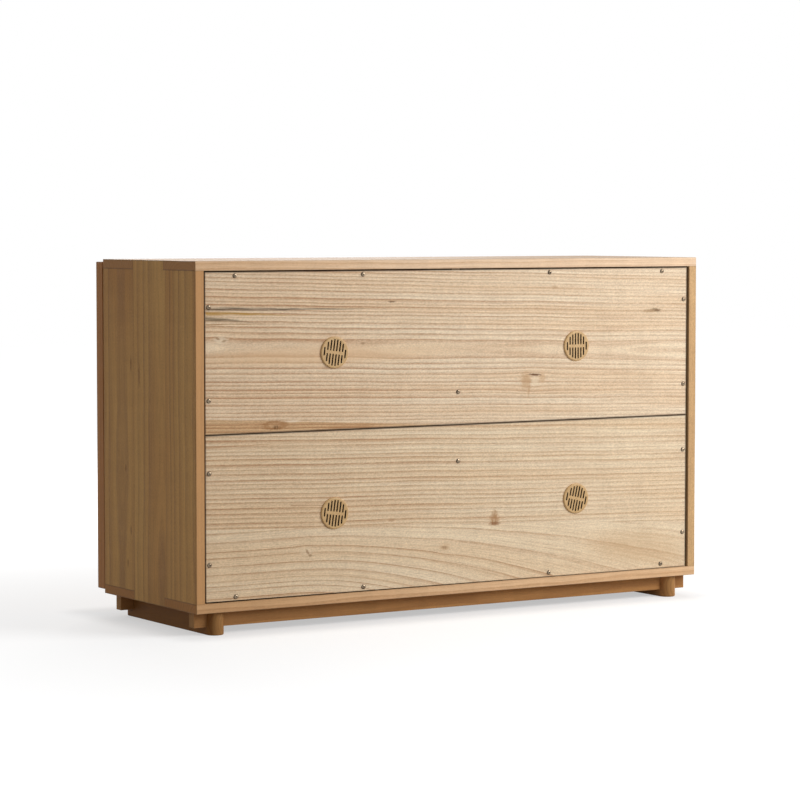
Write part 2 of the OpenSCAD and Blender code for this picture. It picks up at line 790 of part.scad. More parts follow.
cross_board(ceiling_z);  // top_board
bottom_board();
side_board(-1);  // left_side
side_board(1);  // right_side
centre_partition();
upper_back_board();
lower_back_board();
side_cleats();
cross_cleats();
back_screws();
vent_grilles();
runner(-1);  // left_runner
runner(1);  // right_runner
stretcher(front_stretcher_y);  // front_stretcher
stretcher(rear_stretcher_y);  // rear_stretcher
base_screws();
outer_stile(-1);  // left_stile
outer_stile(1);  // right_stile
centre_stile();
end_rail(frame_z1 - rail_h);  // top_rail
middle_rail();
end_rail(frame_z0);  // bottom_rail
slide_packers();
case_slide_members();
for (row = [0, 1], column = [0, 1]) at_drawer(row, column) {
    name = str(rows[row], "_", columns[column], "_");
    drawer_front();
    side_wall(-1);
    side_wall(1);
    rear_wall();
    drawer_bottom();
    drawer_handle();
    handle_screws();
    drawer_members();
    intermediate_members();
}
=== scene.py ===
"""Looks of a chest of four drawers: the finishes of its wood, metal and plastic, its rounded handles and
screw heads, and the pale studio it stands in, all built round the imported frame.

Lengths are in metres. The floor is z = 0, the front faces -Y and the photographed back faces +Y.
"""

import logging
import math
from collections.abc import Mapping
from dataclasses import dataclass, replace
from enum import Enum

import bmesh
import bpy
import numpy as np
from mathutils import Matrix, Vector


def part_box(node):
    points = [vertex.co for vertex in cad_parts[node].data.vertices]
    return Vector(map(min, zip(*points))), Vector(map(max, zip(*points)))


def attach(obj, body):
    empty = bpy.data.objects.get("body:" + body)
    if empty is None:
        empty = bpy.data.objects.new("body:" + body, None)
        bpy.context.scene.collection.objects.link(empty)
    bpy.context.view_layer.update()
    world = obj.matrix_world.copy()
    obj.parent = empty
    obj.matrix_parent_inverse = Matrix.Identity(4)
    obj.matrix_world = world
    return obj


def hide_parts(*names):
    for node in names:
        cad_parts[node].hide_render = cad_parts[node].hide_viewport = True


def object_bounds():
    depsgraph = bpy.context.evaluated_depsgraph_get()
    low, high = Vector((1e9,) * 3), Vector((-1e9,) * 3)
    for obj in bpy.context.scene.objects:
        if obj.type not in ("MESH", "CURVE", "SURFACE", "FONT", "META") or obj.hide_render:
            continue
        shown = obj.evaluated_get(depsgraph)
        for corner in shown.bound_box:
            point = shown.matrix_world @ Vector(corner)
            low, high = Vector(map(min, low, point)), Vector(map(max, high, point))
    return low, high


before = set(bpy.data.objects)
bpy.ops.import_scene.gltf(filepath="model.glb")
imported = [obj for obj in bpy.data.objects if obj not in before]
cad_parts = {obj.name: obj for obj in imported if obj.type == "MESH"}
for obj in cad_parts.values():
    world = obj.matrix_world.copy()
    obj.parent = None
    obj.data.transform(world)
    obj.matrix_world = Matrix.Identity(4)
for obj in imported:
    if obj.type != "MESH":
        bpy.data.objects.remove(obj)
CAD_BOX = [list(corner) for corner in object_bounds()]

log = logging.getLogger("chest")
Socket = bpy.types.NodeSocket
Sockets = dict[str, Socket]
Inputs = Mapping[str | int, object]
Point = tuple[float, float, float]
Place = tuple[float, float]
Colour = tuple[int, int, int]
MM = 0.001
ROWS = ("lower", "upper")
COLUMNS = ("left", "right")


def paint(red: int, green: int, blue: int) -> tuple[float, float, float, float]:
    """Turns a colour as seen on a screen into the linear colour that shaders take.

    Args:
        red, green, blue: The screen values, from 0 to 255.

    Returns:
        The linear colour with full alpha.
    """
    screen = np.array((red, green, blue)) / 255
    linear = np.where(screen <= 0.04045, screen / 12.92, ((screen + 0.055) / 1.055) ** 2.4)
    return (*map(float, linear), 1.0)


def darker(colour: Colour, share: float) -> Colour:
    """Returns a colour with each screen value cut to a share of it."""
    return tuple(int(share * value) for value in colour)


class Graph:
    """Adds nodes to one shader tree, each input given as a constant or as another node's socket."""

    def __init__(self, tree: bpy.types.NodeTree) -> None:
        """Starts on an existing tree."""
        self.tree = tree

    def node(self, kind: str, inputs: Inputs | None = None, **settings: object) -> bpy.types.Node:
        """Adds one node.

        Args:
            kind: The node's type, without its ShaderNode prefix.
            inputs: Socket names or numbers, and what feeds each.
            settings: The node's own properties.

        Returns:
            The new node.
        """
        node = self.tree.nodes.new("ShaderNode" + kind)
        for name, value in settings.items():
            setattr(node, name, value)
        for key, value in (inputs or {}).items():
            self.feed(node.inputs[key], value)
        return node

    def feed(self, target: Socket, value: object) -> None:
        """Links a socket to the target, or sets the target's constant."""
        if isinstance(value, bpy.types.NodeSocket):
            self.tree.links.new(value, target)
        else:
            target.default_value = value

    def math(self, operation: str, a: object, b: object = 0.0, c: object = 0.0) -> Socket:
        """Adds a Math node and returns its result."""
        return self.node("Math", {0: a, 1: b, 2: c}, operation=operation).outputs[0]

    def times(self, a: object, b: object) -> Socket:
        """Returns the product of two values."""
        return self.math("MULTIPLY", a, b)

    def times_plus(self, a: object, b: object, c: object) -> Socket:
        """Returns the product of two values, plus a third."""
        return self.math("MULTIPLY_ADD", a, b, c)

    def plus(self, a: object, b: object) -> Socket:
        """Returns the sum of two values."""
        return self.math("ADD", a, b)

    def minus(self, a: object, b: object) -> Socket:
        """Returns one value less another."""
        return self.math("SUBTRACT", a, b)

    def over(self, a: object, b: object) -> Socket:
        """Returns one value divided by another."""
        return self.math("DIVIDE", a, b)

    def larger(self, a: object, b: object) -> Socket:
        """Returns the larger of two values."""
        return self.math("MAXIMUM", a, b)

    def smaller(self, a: object, b: object) -> Socket:
        """Returns the smaller of two values."""
        return self.math("MINIMUM", a, b)

    def absolute(self, value: object) -> Socket:
        """Returns a value without its sign."""
        return self.math("ABSOLUTE", value)

    def squares(self, a: object, b: object) -> Socket:
        """Returns the sum of two values' squares."""
        return self.times_plus(a, a, self.times(b, b))

    def vector(self, operation: str, a: object, b: object = (0.0, 0.0, 0.0)) -> Socket:
        """Adds a Vector Math node and returns its vector."""
        return self.node("VectorMath", {0: a, 1: b}, operation=operation).outputs["Vector"]

    def position(self) -> Socket:
        """Returns the shaded point's place in the chest's frame, with all drawers shut."""
        return self.node("TexCoord").outputs["Object"]

    def split(self, vector: object) -> tuple[Socket, Socket, Socket]:
        """Returns the three parts of a vector."""
        return tuple(self.node("SeparateXYZ", {0: vector}).outputs)

    def join(self, x: object, y: object, z: object) -> Socket:
        """Returns a vector made of three values."""
        return self.node("CombineXYZ", {0: x, 1: y, 2: z}).outputs[0]

    def noise(self, vector: object, scale: float = 1.0, detail: float = 2.0, colour: bool = False) -> Socket:
        """Adds a noise texture and returns its value, or its three separate channels as a colour."""
        node = self.node("TexNoise", {"Vector": vector, "Scale": scale, "Detail": detail})
        return node.outputs["Color" if colour else "Fac"]

    def grain(self, vector: object, scales: Point, detail: float = 2.0) -> Socket:
        """Adds noise with its own scale along each axis."""
        return self.noise(self.vector("MULTIPLY", vector, scales), detail=detail)

    def noise_along(self, value: object, scale: object, detail: float = 1.0) -> Socket:
        """Adds noise that changes along one value only."""
        inputs = {"W": value, "Scale": scale, "Detail": detail}
        return self.node("TexNoise", inputs, noise_dimensions="1D").outputs["Fac"]

    def chance(self, value: object, colour: bool = False) -> Socket:
        """Adds a random draw that is fixed for each value."""
        node = self.node("TexWhiteNoise", {"W": value}, noise_dimensions="1D")
        return node.outputs["Color" if colour else "Value"]

    def ramp(
        self, value: object, low: object, high: object, to_low: object = 0.0, to_high: object = 1.0,
    ) -> Socket:
        """Maps a value from one range to another with soft ends."""
        inputs = {0: value, 1: low, 2: high, 3: to_low, 4: to_high}
        return self.node("MapRange", inputs, interpolation_type="SMOOTHSTEP").outputs[0]

    def mix(self, factor: object, a: object, b: object, blend: str = "MIX") -> Socket:
        """Mixes two colours and returns the result."""
        return self.node("Mix", {0: factor, 6: a, 7: b}, data_type="RGBA", blend_type=blend).outputs[2]

    def spread(self, value: object, amount: object) -> Socket:
        """Turns a draw from 0 to 1 into one from minus to plus an amount."""
        return self.times(self.times_plus(value, 2.0, -1.0), amount)

    def show(self, shader: bpy.types.Node, output: str = "OutputMaterial") -> None:
        """Joins a shader to a new output node."""
        self.feed(self.node(output).inputs["Surface"], shader.outputs[0])

    def cover(self, inputs: Inputs, height: object, strength: float) -> None:
        """Ends a material with one shader, bumped by a height in metres."""
        bump = self.node("Bump", {"Strength": strength, "Distance": 1.0, "Height": height})
        self.show(self.node("BsdfPrincipled", {**inputs, "Normal": bump.outputs[0]}))


def new_material(name: str) -> tuple[bpy.types.Material, Graph]:
    """Makes an empty material and returns it with the graph that fills it."""
    material = bpy.data.materials.new(name)
    material.use_nodes = True
    material.node_tree.nodes.clear()
    return material, Graph(material.node_tree)


class Port(Enum):
    """Kinds of sockets on a node group."""

    FLOAT = "NodeSocketFloat"
    VECTOR = "NodeSocketVector"


class Effect:
    """A shader node group with named inputs and outputs, built once and placed in many materials.

    A subclass names its vectors, the numbers that it takes with their usual values, and what it gives.
    """

    title: str = ""
    vectors: tuple[str, ...] = ("Vector",)
    takes: Mapping[str, float] = {}
    gives: tuple[str, ...] = ()
    _trees: dict[str, bpy.types.NodeTree] = {}

    @classmethod
    def build(cls, g: Graph, given: Sockets) -> Sockets:
        """Adds the group's nodes and returns the socket for each output."""
        raise NotImplementedError

    @classmethod
    def tree(cls) -> bpy.types.NodeTree:
        """Returns the group's tree, which the first call builds."""
        if cls.title not in cls._trees:
            tree = bpy.data.node_groups.new(cls.title, "ShaderNodeTree")
            for name in cls.vectors:
                tree.interface.new_socket(name, in_out="INPUT", socket_type=Port.VECTOR.value)
            for name, usual in cls.takes.items():
                socket = tree.interface.new_socket(name, in_out="INPUT", socket_type=Port.FLOAT.value)
                socket.default_value = usual
            for name in cls.gives:
                port = Port.VECTOR if name in cls.vectors else Port.FLOAT
                tree.interface.new_socket(name, in_out="OUTPUT", socket_type=port.value)
            inner = tree.nodes.new("NodeGroupInput")
            outer = tree.nodes.new("NodeGroupOutput")
            given = {name: inner.outputs[name] for name in (*cls.vectors, *cls.takes)}
            for name, socket in cls.build(Graph(tree), given).items():
                tree.links.new(socket, outer.inputs[name])
            cls._trees[cls.title] = tree
        return cls._trees[cls.title]

    @classmethod
    def place(cls, g: Graph, **inputs: object) -> bpy.types.bpy_prop_collection:
        """Places the group in a material.

        Args:
            g: The material's graph.
            inputs: What feeds each input, with underscores for the spaces in its name.

        Returns:
            The placed node's outputs, by name.
        """
        node = g.node("Group", node_tree=cls.tree())
        for name, value in inputs.items():
            g.feed(node.inputs[name.replace("_", " ").title()], value)
        return node.outputs


class GrowthRings(Effect):
    """Growth lines of a board as a solid pattern: rings round a pith that runs along the board.

    The ring number of a point is its distance from the wandering pith over the ring width, raised to a
    power below one where the rings grew wider with age. Where the pith lies close behind the face the lines
    part into arches, and far from it they run close and straight. Each ring darkens with a power of its age,
    the sharpness, and ends at once, and its dark band is broken into short pores. Staves glued side by side
    are cut from other stretches of the tree.
    """

    title = "Growth Rings"
    takes = {
        "Ring Width": 0.008, "Pith Across": 0, "Pith Slope": 0, "Pith Depth": 0.06, "Wander": 0.004,
        "Ripple": 0.0008, "Growth": 1, "Sharpness": 2, "Stave Width": 1, "Stave Start": 0, "Stave Spread": 0,
        "Seed": 0,
    }
    gives = ("Line", "Fine", "Band", "Stave", "Seam")

    @classmethod
    def build(cls, g: Graph, given: Sockets) -> Sockets:
        """Adds the group's nodes and returns the socket for each output."""
        along, across, depth = g.split(given["Vector"])
        seed = given["Seed"]
        spread = given["Stave Spread"]
        staves = g.over(g.minus(across, given["Stave Start"]), given["Stave Width"])
        number = g.math("FLOOR", staves)
        part = g.minus(staves, number)
        shift, lean, sink = g.split(g.chance(g.times_plus(number, 3.7, seed), colour=True))
        middle = g.times_plus(g.plus(number, 0.5), given["Stave Width"], given["Stave Start"])
        along = g.times_plus(g.times(shift, spread), 5.0, along)
        pith = g.times_plus(g.spread(lean, given["Stave Width"]), spread, middle)
        pith = g.plus(pith, given["Pith Across"])
        pith = g.times_plus(given["Pith Slope"], along, pith)
        drop = g.times(given["Pith Depth"], g.times_plus(g.spread(sink, 0.6), spread, 1.0))

        slow = g.noise(g.join(g.times(along, 2.4), g.times(across, 1.6), seed), colour=True)
        sway, dip, _ = g.split(slow)
        quick = g.noise(g.join(g.times(along, 13.0), g.times(across, 8.0), seed), detail=1.0)
        reach_across = g.minus(g.plus(across, g.spread(sway, given["Wander"])), pith)
        reach_across = g.plus(reach_across, g.spread(quick, given["Ripple"]))
        reach_depth = g.plus(g.plus(depth, g.spread(dip, given["Wander"])), drop)
        radius = g.math("SQRT", g.squares(reach_across, reach_depth))
        share = g.math("POWER", g.times(radius, 10.0), given["Growth"])
        rings = g.times(share, g.over(0.1, given["Ring Width"]))
        rings = g.plus(rings, g.spread(g.noise_along(g.plus(rings, seed), 0.45), 0.4))
        ring = g.math("FLOOR", rings)
        age = g.minus(rings, ring)

        turn = g.minus(1.0, g.over(0.32, given["Sharpness"]))
        rise = g.times(g.math("POWER", age, given["Sharpness"]), g.ramp(age, turn, 1.0, 1.0, 0.0))
        force = g.times_plus(g.chance(g.plus(ring, seed)), 0.5, 0.5)
        fade = g.noise(g.join(g.times(along, 4.0), rings, seed), detail=2.0)
        pores = g.grain(given["Vector"], (110.0, 1500.0, 1500.0))
        rise = g.times(rise, g.ramp(pores, 0.3, 0.62, 0.62, 1.25))
        force = g.times(force, g.ramp(fade, 0.25, 0.6, 0.6, 1.0))
        line = g.times(g.times(rise, 1.6), force)
        fine = g.noise(g.join(g.times(along, 6.0), g.times(radius, 640.0), seed), detail=3.0)
        band = g.noise(g.join(g.times(along, 1.2), g.times(rings, 0.35), seed), detail=2.0)
        beside = g.times(g.smaller(part, g.minus(1.0, part)), given["Stave Width"])
        seam = g.ramp(beside, 0.0002, 0.0010, 1.0, 0.0)
        return {"Line": g.smaller(line, 1.0), "Fine": fine, "Band": band, "Stave": shift,
                "Seam": g.times(seam, spread)}


class KnotFlow(Effect):
    """The way growth lines part round a small knot."""

    title = "Knot Flow"
    takes = {"Along": 0, "Across": 0, "Length": 0.02, "Height": 0.01, "Push": 0.8}
    gives = ("Vector",)

    @classmethod
    def build(cls, g: Graph, given: Sockets) -> Sockets:
        """Adds the group's nodes and returns the socket for each output."""
        along, across, depth = g.split(given["Vector"])
        high = g.minus(across, given["Across"])
        far_share = g.over(g.minus(along, given["Along"]), given["Length"])
        high_share = g.over(high, given["Height"])
        base = g.plus(g.squares(far_share, high_share), 1.0)
        push = g.times(g.over(high, g.times(base, base)), given["Push"])
        return {"Vector": g.join(along, g.minus(across, push), depth)}


class FanOut(Effect):
    """The way growth lines below a level line fall away from it towards one end of a board.

    Past the start, the distance below the level line is divided by one plus the spread times the square of
    the distance past the start, so that lines drawn level there spread apart and fall.
    """

    title = "Fan Out"
    takes = {"Level": 0, "Start": 0, "Spread": 0}
    gives = ("Vector",)

    @classmethod
    def build(cls, g: Graph, given: Sockets) -> Sockets:
        """Adds the group's nodes and returns the socket for each output."""
        along, across, depth = g.split(given["Vector"])
        past = g.larger(g.minus(given["Start"], along), 0.0)
        wider = g.times_plus(g.times(past, past), given["Spread"], 1.0)
        below = g.over(g.minus(given["Level"], across), wider)
        return {"Vector": g.join(along, g.minus(given["Level"], below), depth)}


class Blemish(Effect):
    """The mask of one mark in the wood: a ragged oval that may lean, taper, be hollow or have a flat foot.

    A point's share is its distance from the middle, in half lengths along the mark and half heights across
    it. The mark fills shares up to about one, or only a rim near three quarters where it is hollow. Threads
    cut it into upright lines.
    """

    title = "Blemish"
    takes = {
        "Along": 0, "Across": 0, "Half Length": 0.01, "Half Height": 0.004, "Lean": 0, "Taper": 0,
        "Foot": -3, "Hollow": 0, "Threads": 0,
    }
    gives = ("Mask",)

    @classmethod
    def build(cls, g: Graph, given: Sockets) -> Sockets:
        """Adds the group's nodes and returns the socket for each output."""
        along, across, _ = g.split(given["Vector"])
        far = g.minus(along, given["Along"])
        high = g.minus(across, given["Across"])
        cosine = g.math("COSINE", given["Lean"])
        sine = g.math("SINE", given["Lean"])
        turned_far = g.plus(g.times(far, cosine), g.times(high, sine))
        turned_high = g.minus(g.times(high, cosine), g.times(far, sine))
        level = g.over(turned_high, given["Half Height"])
        narrowed = g.minus(1.0, g.times(given["Taper"], level))
        reach = g.over(turned_far, g.times(given["Half Length"], g.larger(narrowed, 0.1)))
        share = g.math("SQRT", g.squares(reach, level))
        ragged = g.grain(given["Vector"], (170.0, 620.0, 620.0), 3.0)
        share = g.plus(share, g.spread(ragged, 0.55))
        full = g.ramp(share, 0.35, 1.15, 1.0, 0.0)
        rim = g.ramp(g.absolute(g.minus(share, 0.78)), 0.04, 0.42, 1.0, 0.0)
        body = g.times_plus(g.minus(rim, full), given["Hollow"], full)
        body = g.times(body, g.ramp(g.minus(level, given["Foot"]), -0.04, 0.04))
        threads = g.grain(given["Vector"], (640.0, 60.0, 60.0))
        gaps = g.times(g.ramp(threads, 0.38, 0.56, 1.0, 0.0), given["Threads"])
        return {"Mask": g.times(body, g.minus(1.0, gaps))}


class Streak(Effect):
    """A long mineral streak that starts thick at one point and thins out to nothing at another."""

    title = "Streak"
    takes = {"Along Start": 0, "Across Start": 0, "Along End": 1, "Across End": 0, "Thickness": 0.004}
    gives = ("Mask",)

    @classmethod
    def build(cls, g: Graph, given: Sockets) -> Sockets:
        """Adds the group's nodes and returns the socket for each output."""
        along, across, depth = g.split(given["Vector"])
        reach = g.minus(given["Along End"], given["Along Start"])
        share = g.over(g.minus(along, given["Along Start"]), reach)
        inside = g.times(g.ramp(share, 0.0, 0.02), g.ramp(share, 0.45, 1.0, 1.0, 0.0))
        drop = g.minus(given["Across End"], given["Across Start"])
        centre = g.times_plus(share, drop, given["Across Start"])
        wave = g.noise(g.join(g.times(along, 16.0), 0.3, depth), detail=1.0)
        centre = g.plus(centre, g.spread(wave, 0.002))
        half = g.times(given["Thickness"], g.ramp(share, 0.0, 0.7, 1.0, 0.4))
        off = g.over(g.absolute(g.minus(across, centre)), half)
        threads = g.noise(g.join(g.times(along, 12.0), g.times(across, 700.0), depth), detail=2.0)
        body = g.ramp(off, 0.1, 1.0, 1.0, 0.0)
        return {"Mask": g.times(g.times(body, inside), g.ramp(threads, 0.3, 0.6, 0.25, 1.0))}


class EdgeStrip(Effect):
    """The mask of a strip of other wood below a straight slanting line, as sapwood lies along an edge."""

    title = "Edge Strip"
    takes = {"Along Start": 0, "Across Start": 0, "Along End": 1, "Across End": 0, "Wave": 0.002}
    gives = ("Mask",)

    @classmethod
    def build(cls, g: Graph, given: Sockets) -> Sockets:
        """Adds the group's nodes and returns the socket for each output."""
        along, across, _ = g.split(given["Vector"])
        reach = g.minus(given["Along End"], given["Along Start"])
        share = g.over(g.minus(along, given["Along Start"]), reach)
        drop = g.minus(given["Across End"], given["Across Start"])
        top = g.times_plus(share, drop, given["Across Start"])
        wave = g.noise(g.join(g.times(along, 15.0), 0.7, 0.0), detail=2.0)
        under = g.minus(g.plus(top, g.spread(wave, given["Wave"])), across)
        return {"Mask": g.ramp(under, -0.0004, 0.0010)}


class Fibre(Effect):
    """Pores and fibres: short dark dashes, soft streaks along the grain and a fine sawn texture."""

    title = "Fibre"
    takes = {"Line": 0}
    gives = ("Pores", "Silk", "Figure", "Grit")

    @classmethod
    def build(cls, g: Graph, given: Sockets) -> Sockets:
        """Adds the group's nodes and returns the socket for each output."""
        vector = given["Vector"]
        pores = g.grain(vector, (130.0, 2100.0, 2100.0), 1.0)
        silk = g.grain(vector, (14.0, 420.0, 420.0), 3.0)
        figure = g.grain(vector, (34.0, 7.0, 7.0))
        grit = g.grain(vector, (300.0, 540.0, 540.0))
        many = g.times_plus(given["Line"], 0.7, 0.3)
        dashes = g.times(g.ramp(pores, 0.56, 0.72), many)
        return {"Pores": dashes, "Silk": silk, "Figure": figure, "Grit": grit}


class ArrisWear(Effect):
    """How near a point on a box-shaped board is to one of the board's edges, broken up by handling.

    On a face the smallest distance to the sides is nought, so the next smallest is that to an edge.
    """

    title = "Arris Wear"
    vectors = ("Vector", "Half Size")
    takes = {"Width": 0.003}
    gives = ("Edge", "Rub")

    @classmethod
    def build(cls, g: Graph, given: Sockets) -> Sockets:
        """Adds the group's nodes and returns the socket for each output."""
        gaps = g.vector("SUBTRACT", given["Half Size"], g.vector("ABSOLUTE", given["Vector"]))
        a, b, c = g.split(gaps)
        middle = g.larger(g.smaller(a, b), g.smaller(g.larger(a, b), c))
        edge = g.ramp(middle, 0.0, given["Width"], 1.0, 0.0)
        patch = g.noise(given["Vector"], scale=22.0, detail=3.0)
        return {"Edge": edge, "Rub": g.times(edge, g.ramp(patch, 0.35, 0.65))}


class FingerSeams(Effect):
    """The dark glue lines round the fingers of a corner joint, at both ends of a board.

    The sign tells which fingers the board keeps: plus for the outer ones and minus for the middle one.
    """

    title = "Finger Seams"
    takes = {"Half Finger": 0.06, "Reach": 0.5, "Sign": 1, "Width": 0.001}
    gives = ("Seam",)

    @classmethod
    def build(cls, g: Graph, given: Sockets) -> Sockets:
        """Adds the group's nodes and returns the socket for each output."""
        along, across, _ = g.split(given["Vector"])
        past = g.minus(g.absolute(along), given["Reach"])
        aside = g.minus(g.absolute(across), given["Half Finger"])
        beyond = g.math("GREATER_THAN", past, g.times(given["Width"], -1.0))
        cheek = g.times(g.ramp(g.absolute(aside), 0.0, given["Width"], 1.0, 0.0), beyond)
        notch = g.math("LESS_THAN", g.times(aside, given["Sign"]), 0.0)
        shoulder = g.times(g.ramp(g.absolute(past), 0.0, given["Width"], 1.0, 0.0), notch)
        return {"Seam": g.larger(cheek, shoulder)}


class MouldedSkin(Effect):
    """The faint pebbling and slow unevenness of a moulded plastic surface."""

    title = "Moulded Skin"
    gives = ("Pebble", "Cloud")

    @classmethod
    def build(cls, g: Graph, given: Sockets) -> Sockets:
        """Adds the group's nodes and returns the socket for each output."""
        return {"Pebble": g.noise(given["Vector"], scale=2600.0, detail=2.0),
                "Cloud": g.noise(given["Vector"], scale=90.0, detail=3.0)}


class DrawnSteel(Effect):
    """Fine drawing lines and dull patches on plated metal, with the lines along one axis."""

    title = "Drawn Steel"
    gives = ("Lines", "Patch")

    @classmethod
    def build(cls, g: Graph, given: Sockets) -> Sockets:
        """Adds the group's nodes and returns the socket for each output."""
        lines = g.grain(given["Vector"], (30.0, 5200.0, 5200.0))
        return {"Lines": lines, "Patch": g.noise(given["Vector"], scale=140.0, detail=4.0)}


class Run(Enum):
    """Which way a board's grain runs, and which axes lie across it and through it."""

    X_FLAT_Y = (0, 2, 1)
    X_FLAT_Z = (0, 1, 2)
    Y_FLAT_X = (1, 2, 0)
    Z_FLAT_X = (2, 1, 0)
    Z_FLAT_Y = (2, 0, 1)


# Painted shade: the near-black of narrow faces and of faces seen only through the gaps between boards.
GAP_SHADE: Colour = (44, 20, 9)
# Dirt and painted shade in screw recesses and round the feet of screw heads.
GRIME_AND_SHADE: Colour = (26, 20, 15)
WHITE = (1.0, 1.0, 1.0, 1.0)
WIDER_THAN_ANY = 4.0


@dataclass(frozen=True)
class Wood:
    """Colours and figure of one kind of board."""

    light: Colour
    line: Colour
    warm: Colour
    end: Colour
    ring_width: float = 0.007
    line_strength: float = 0.5
    warm_share: float = 0.6
    pore_strength: float = 0.35
    grit: float = 0.035
    roughness: float = 0.55


@dataclass(frozen=True)
class Knot:
    """A place where the growth lines part, in millimetres in the chest's own frame."""

    along: float
    across: float
    length: float
    height: float
    push: float = 0.8


@dataclass(frozen=True)
class Mark:
    """A mark in the face of a board, in millimetres in the chest's own frame and in degrees."""

    along: float
    across: float
    half_length: float
    half_height: float
    colour: Colour
    strength: float = 0.7
    lean: float = 0.0
    taper: float = 0.0
    foot: float = -3.0
    hollow: float = 0.0
    threads: float = 0.0


@dataclass(frozen=True)
class Stain:
    """A mineral streak from a thick start to a thin end, in millimetres in the chest's own frame."""

    start: Place
    end: Place
    thickness: float
    colour: Colour
    strength: float


@dataclass(frozen=True)
class Strip:
    """A strip of other wood below a line through two points, in millimetres in the chest's own frame."""

    start: Place
    end: Place
    colour: Colour
    strength: float


@dataclass(frozen=True)
class Figure:
    """Where one board was sawn from its tree, and what lies in its face.

    The fan is a level, a start and a spread. The joint is a line, below which the stave under it begins. The
    fingers are half a finger's width, how far out their shoulder lies, and the sign of Finger Seams.
    """

    run: Run
    seed: float
    pith_across: float = 0.0
    pith_slope: float = 0.0
    pith_depth: float = 0.07
    wander: float = 0.006
    growth: float = 1.0
    sharpness: float = 2.0
    ring_width: float = 0.0
    fan: tuple[float, float, float] | None = None
    joint: tuple[Place, Place] | None = None
    under: "Figure | None" = None
    staves: float = 0.0
    stave_start: float = 0.0
    knots: tuple[Knot, ...] = ()
    marks: tuple[Mark, ...] = ()
    stains: tuple[Stain, ...] = ()
    strips: tuple[Strip, ...] = ()
    # Painted shade, partly the wood's own tone: how much darker and warmer the board grows towards +X.
    warm_shaded_end: float = 0.0
    # Painted shade: a dark line along the arrises of the faces that face along X.
    arris_shade: float = 0.0
    # Painted shade: how far narrow faces, and a strip along the borders, go near-black for the gaps.
    gap_edge_shade: float = 0.0
    # Painted shade: a colour that the broad faces are multiplied by.
    face_shade: Colour | None = None
    # Painted light: a paler colour for the faces across the board, as lit edges of a board painted as
    # shaded.
    rim: Colour | None = None
    fingers: tuple[float, float, float] | None = None


@dataclass(frozen=True)
class Board:
    """One board's box, with its pattern's axes turned along its grain."""

    low: Point
    high: Point
    run: Run

    @property
    def centre(self) -> Point:
        """Returns the middle of the board, along, across and through the grain."""
        return tuple((self.low[axis] + self.high[axis]) / 2 for axis in self.run.value)

    @property
    def half(self) -> Point:
        """Returns half the board's size, along, across and through the grain."""
        return tuple((self.high[axis] - self.low[axis]) / 2 for axis in self.run.value)

    def vector(self, g: Graph) -> Socket:
        """Adds the board's own coordinates, from its middle and turned along its grain."""
        parts = g.split(g.position())
        turned = g.join(*(parts[axis] for axis in self.run.value))
        return g.vector("SUBTRACT", turned, self.centre)

    def place(self, along: float, across: float) -> Place:
        """Turns a place in the chest's frame, in millimetres, into the board's own coordinates."""
        return along * MM - self.centre[0], across * MM - self.centre[1]


def ends(board: Board, start: Place, end: Place) -> dict[str, float]:
    """Returns the two ends of a streak or strip as the inputs of its effect."""
    names = ("along_start", "across_start", "along_end", "across_end")
    return dict(zip(names, (*board.place(*start), *board.place(*end))))


def flow_round_knots(g: Graph, board: Board, figure: Figure, vector: Socket) -> Socket:
    """Bends a board's coordinates round its knots and returns them."""
    for knot in figure.knots:
        along, across = board.place(knot.along, knot.across)
        vector = KnotFlow.place(g, vector=vector, along=along, across=across, length=knot.length * MM,
                                height=knot.height * MM, push=knot.push)["Vector"]
    return vector


def lay_marks(g: Graph, board: Board, figure: Figure, vector: Socket, colour: Socket) -> Socket:
    """Lays a board's strips, streaks and marks over its colour and returns the result."""
    for strip in figure.strips:
        mask = EdgeStrip.place(g, vector=vector, **ends(board, strip.start, strip.end))["Mask"]
        colour = g.mix(g.times(mask, strip.strength), colour, paint(*strip.colour), "MULTIPLY")
    for stain in figure.stains:
        line = ends(board, stain.start, stain.end)
        mask = Streak.place(g, vector=vector, thickness=stain.thickness * MM, **line)["Mask"]
        colour = g.mix(g.times(mask, stain.strength), colour, paint(*stain.colour))
    for mark in figure.marks:
        along, across = board.place(mark.along, mark.across)
        mask = Blemish.place(
            g, vector=vector, along=along, across=across, half_length=mark.half_length * MM,
            half_height=mark.half_height * MM, lean=math.radians(mark.lean), taper=mark.taper,
            foot=mark.foot, hollow=mark.hollow, threads=mark.threads,
        )["Mask"]
        colour = g.mix(g.times(mask, mark.strength), colour, paint(*mark.colour))
    return colour


def ring_lines(g: Graph, board: Board, wood: Wood, figure: Figure, vector: Socket) -> dict[str, Socket]:
    """Adds a board's growth lines, and those of the stave glued below it where there is one.

    Args:
        g: The material's graph.
        board: The board's box.
        wood: The kind of wood.
        figure: How the board was sawn.
        vector: The board's coordinates, already bent round its knots.

    Returns:
        The outputs of the growth rings, by name.
    """
    place = vector
    if figure.fan:
        level, start, spread = figure.fan
        start, level = board.place(start, level)
        place = FanOut.place(g, vector=vector, level=level, start=start, spread=spread)["Vector"]
    outputs = GrowthRings.place(
        g, vector=place, ring_width=figure.ring_width or wood.ring_width, pith_across=figure.pith_across,
        pith_slope=figure.pith_slope, pith_depth=figure.pith_depth, wander=figure.wander,
        growth=figure.growth, sharpness=figure.sharpness, stave_width=figure.staves or WIDER_THAN_ANY,
        stave_start=(figure.stave_start - board.centre[1]) if figure.staves else -0.5 * WIDER_THAN_ANY,
        stave_spread=1.0 if figure.staves else 0.0, seed=figure.seed,
    )
    rings = {title: outputs[title] for title in GrowthRings.gives}
    if figure.under and figure.joint:
        mask = EdgeStrip.place(g, vector=vector, wave=0.0, **ends(board, *figure.joint))["Mask"]
        lower = ring_lines(g, board, wood, figure.under, vector)
        for title, socket in rings.items():
            change = g.minus(lower[title], socket)
            rings[title] = g.times_plus(change, mask, socket)
    return rings


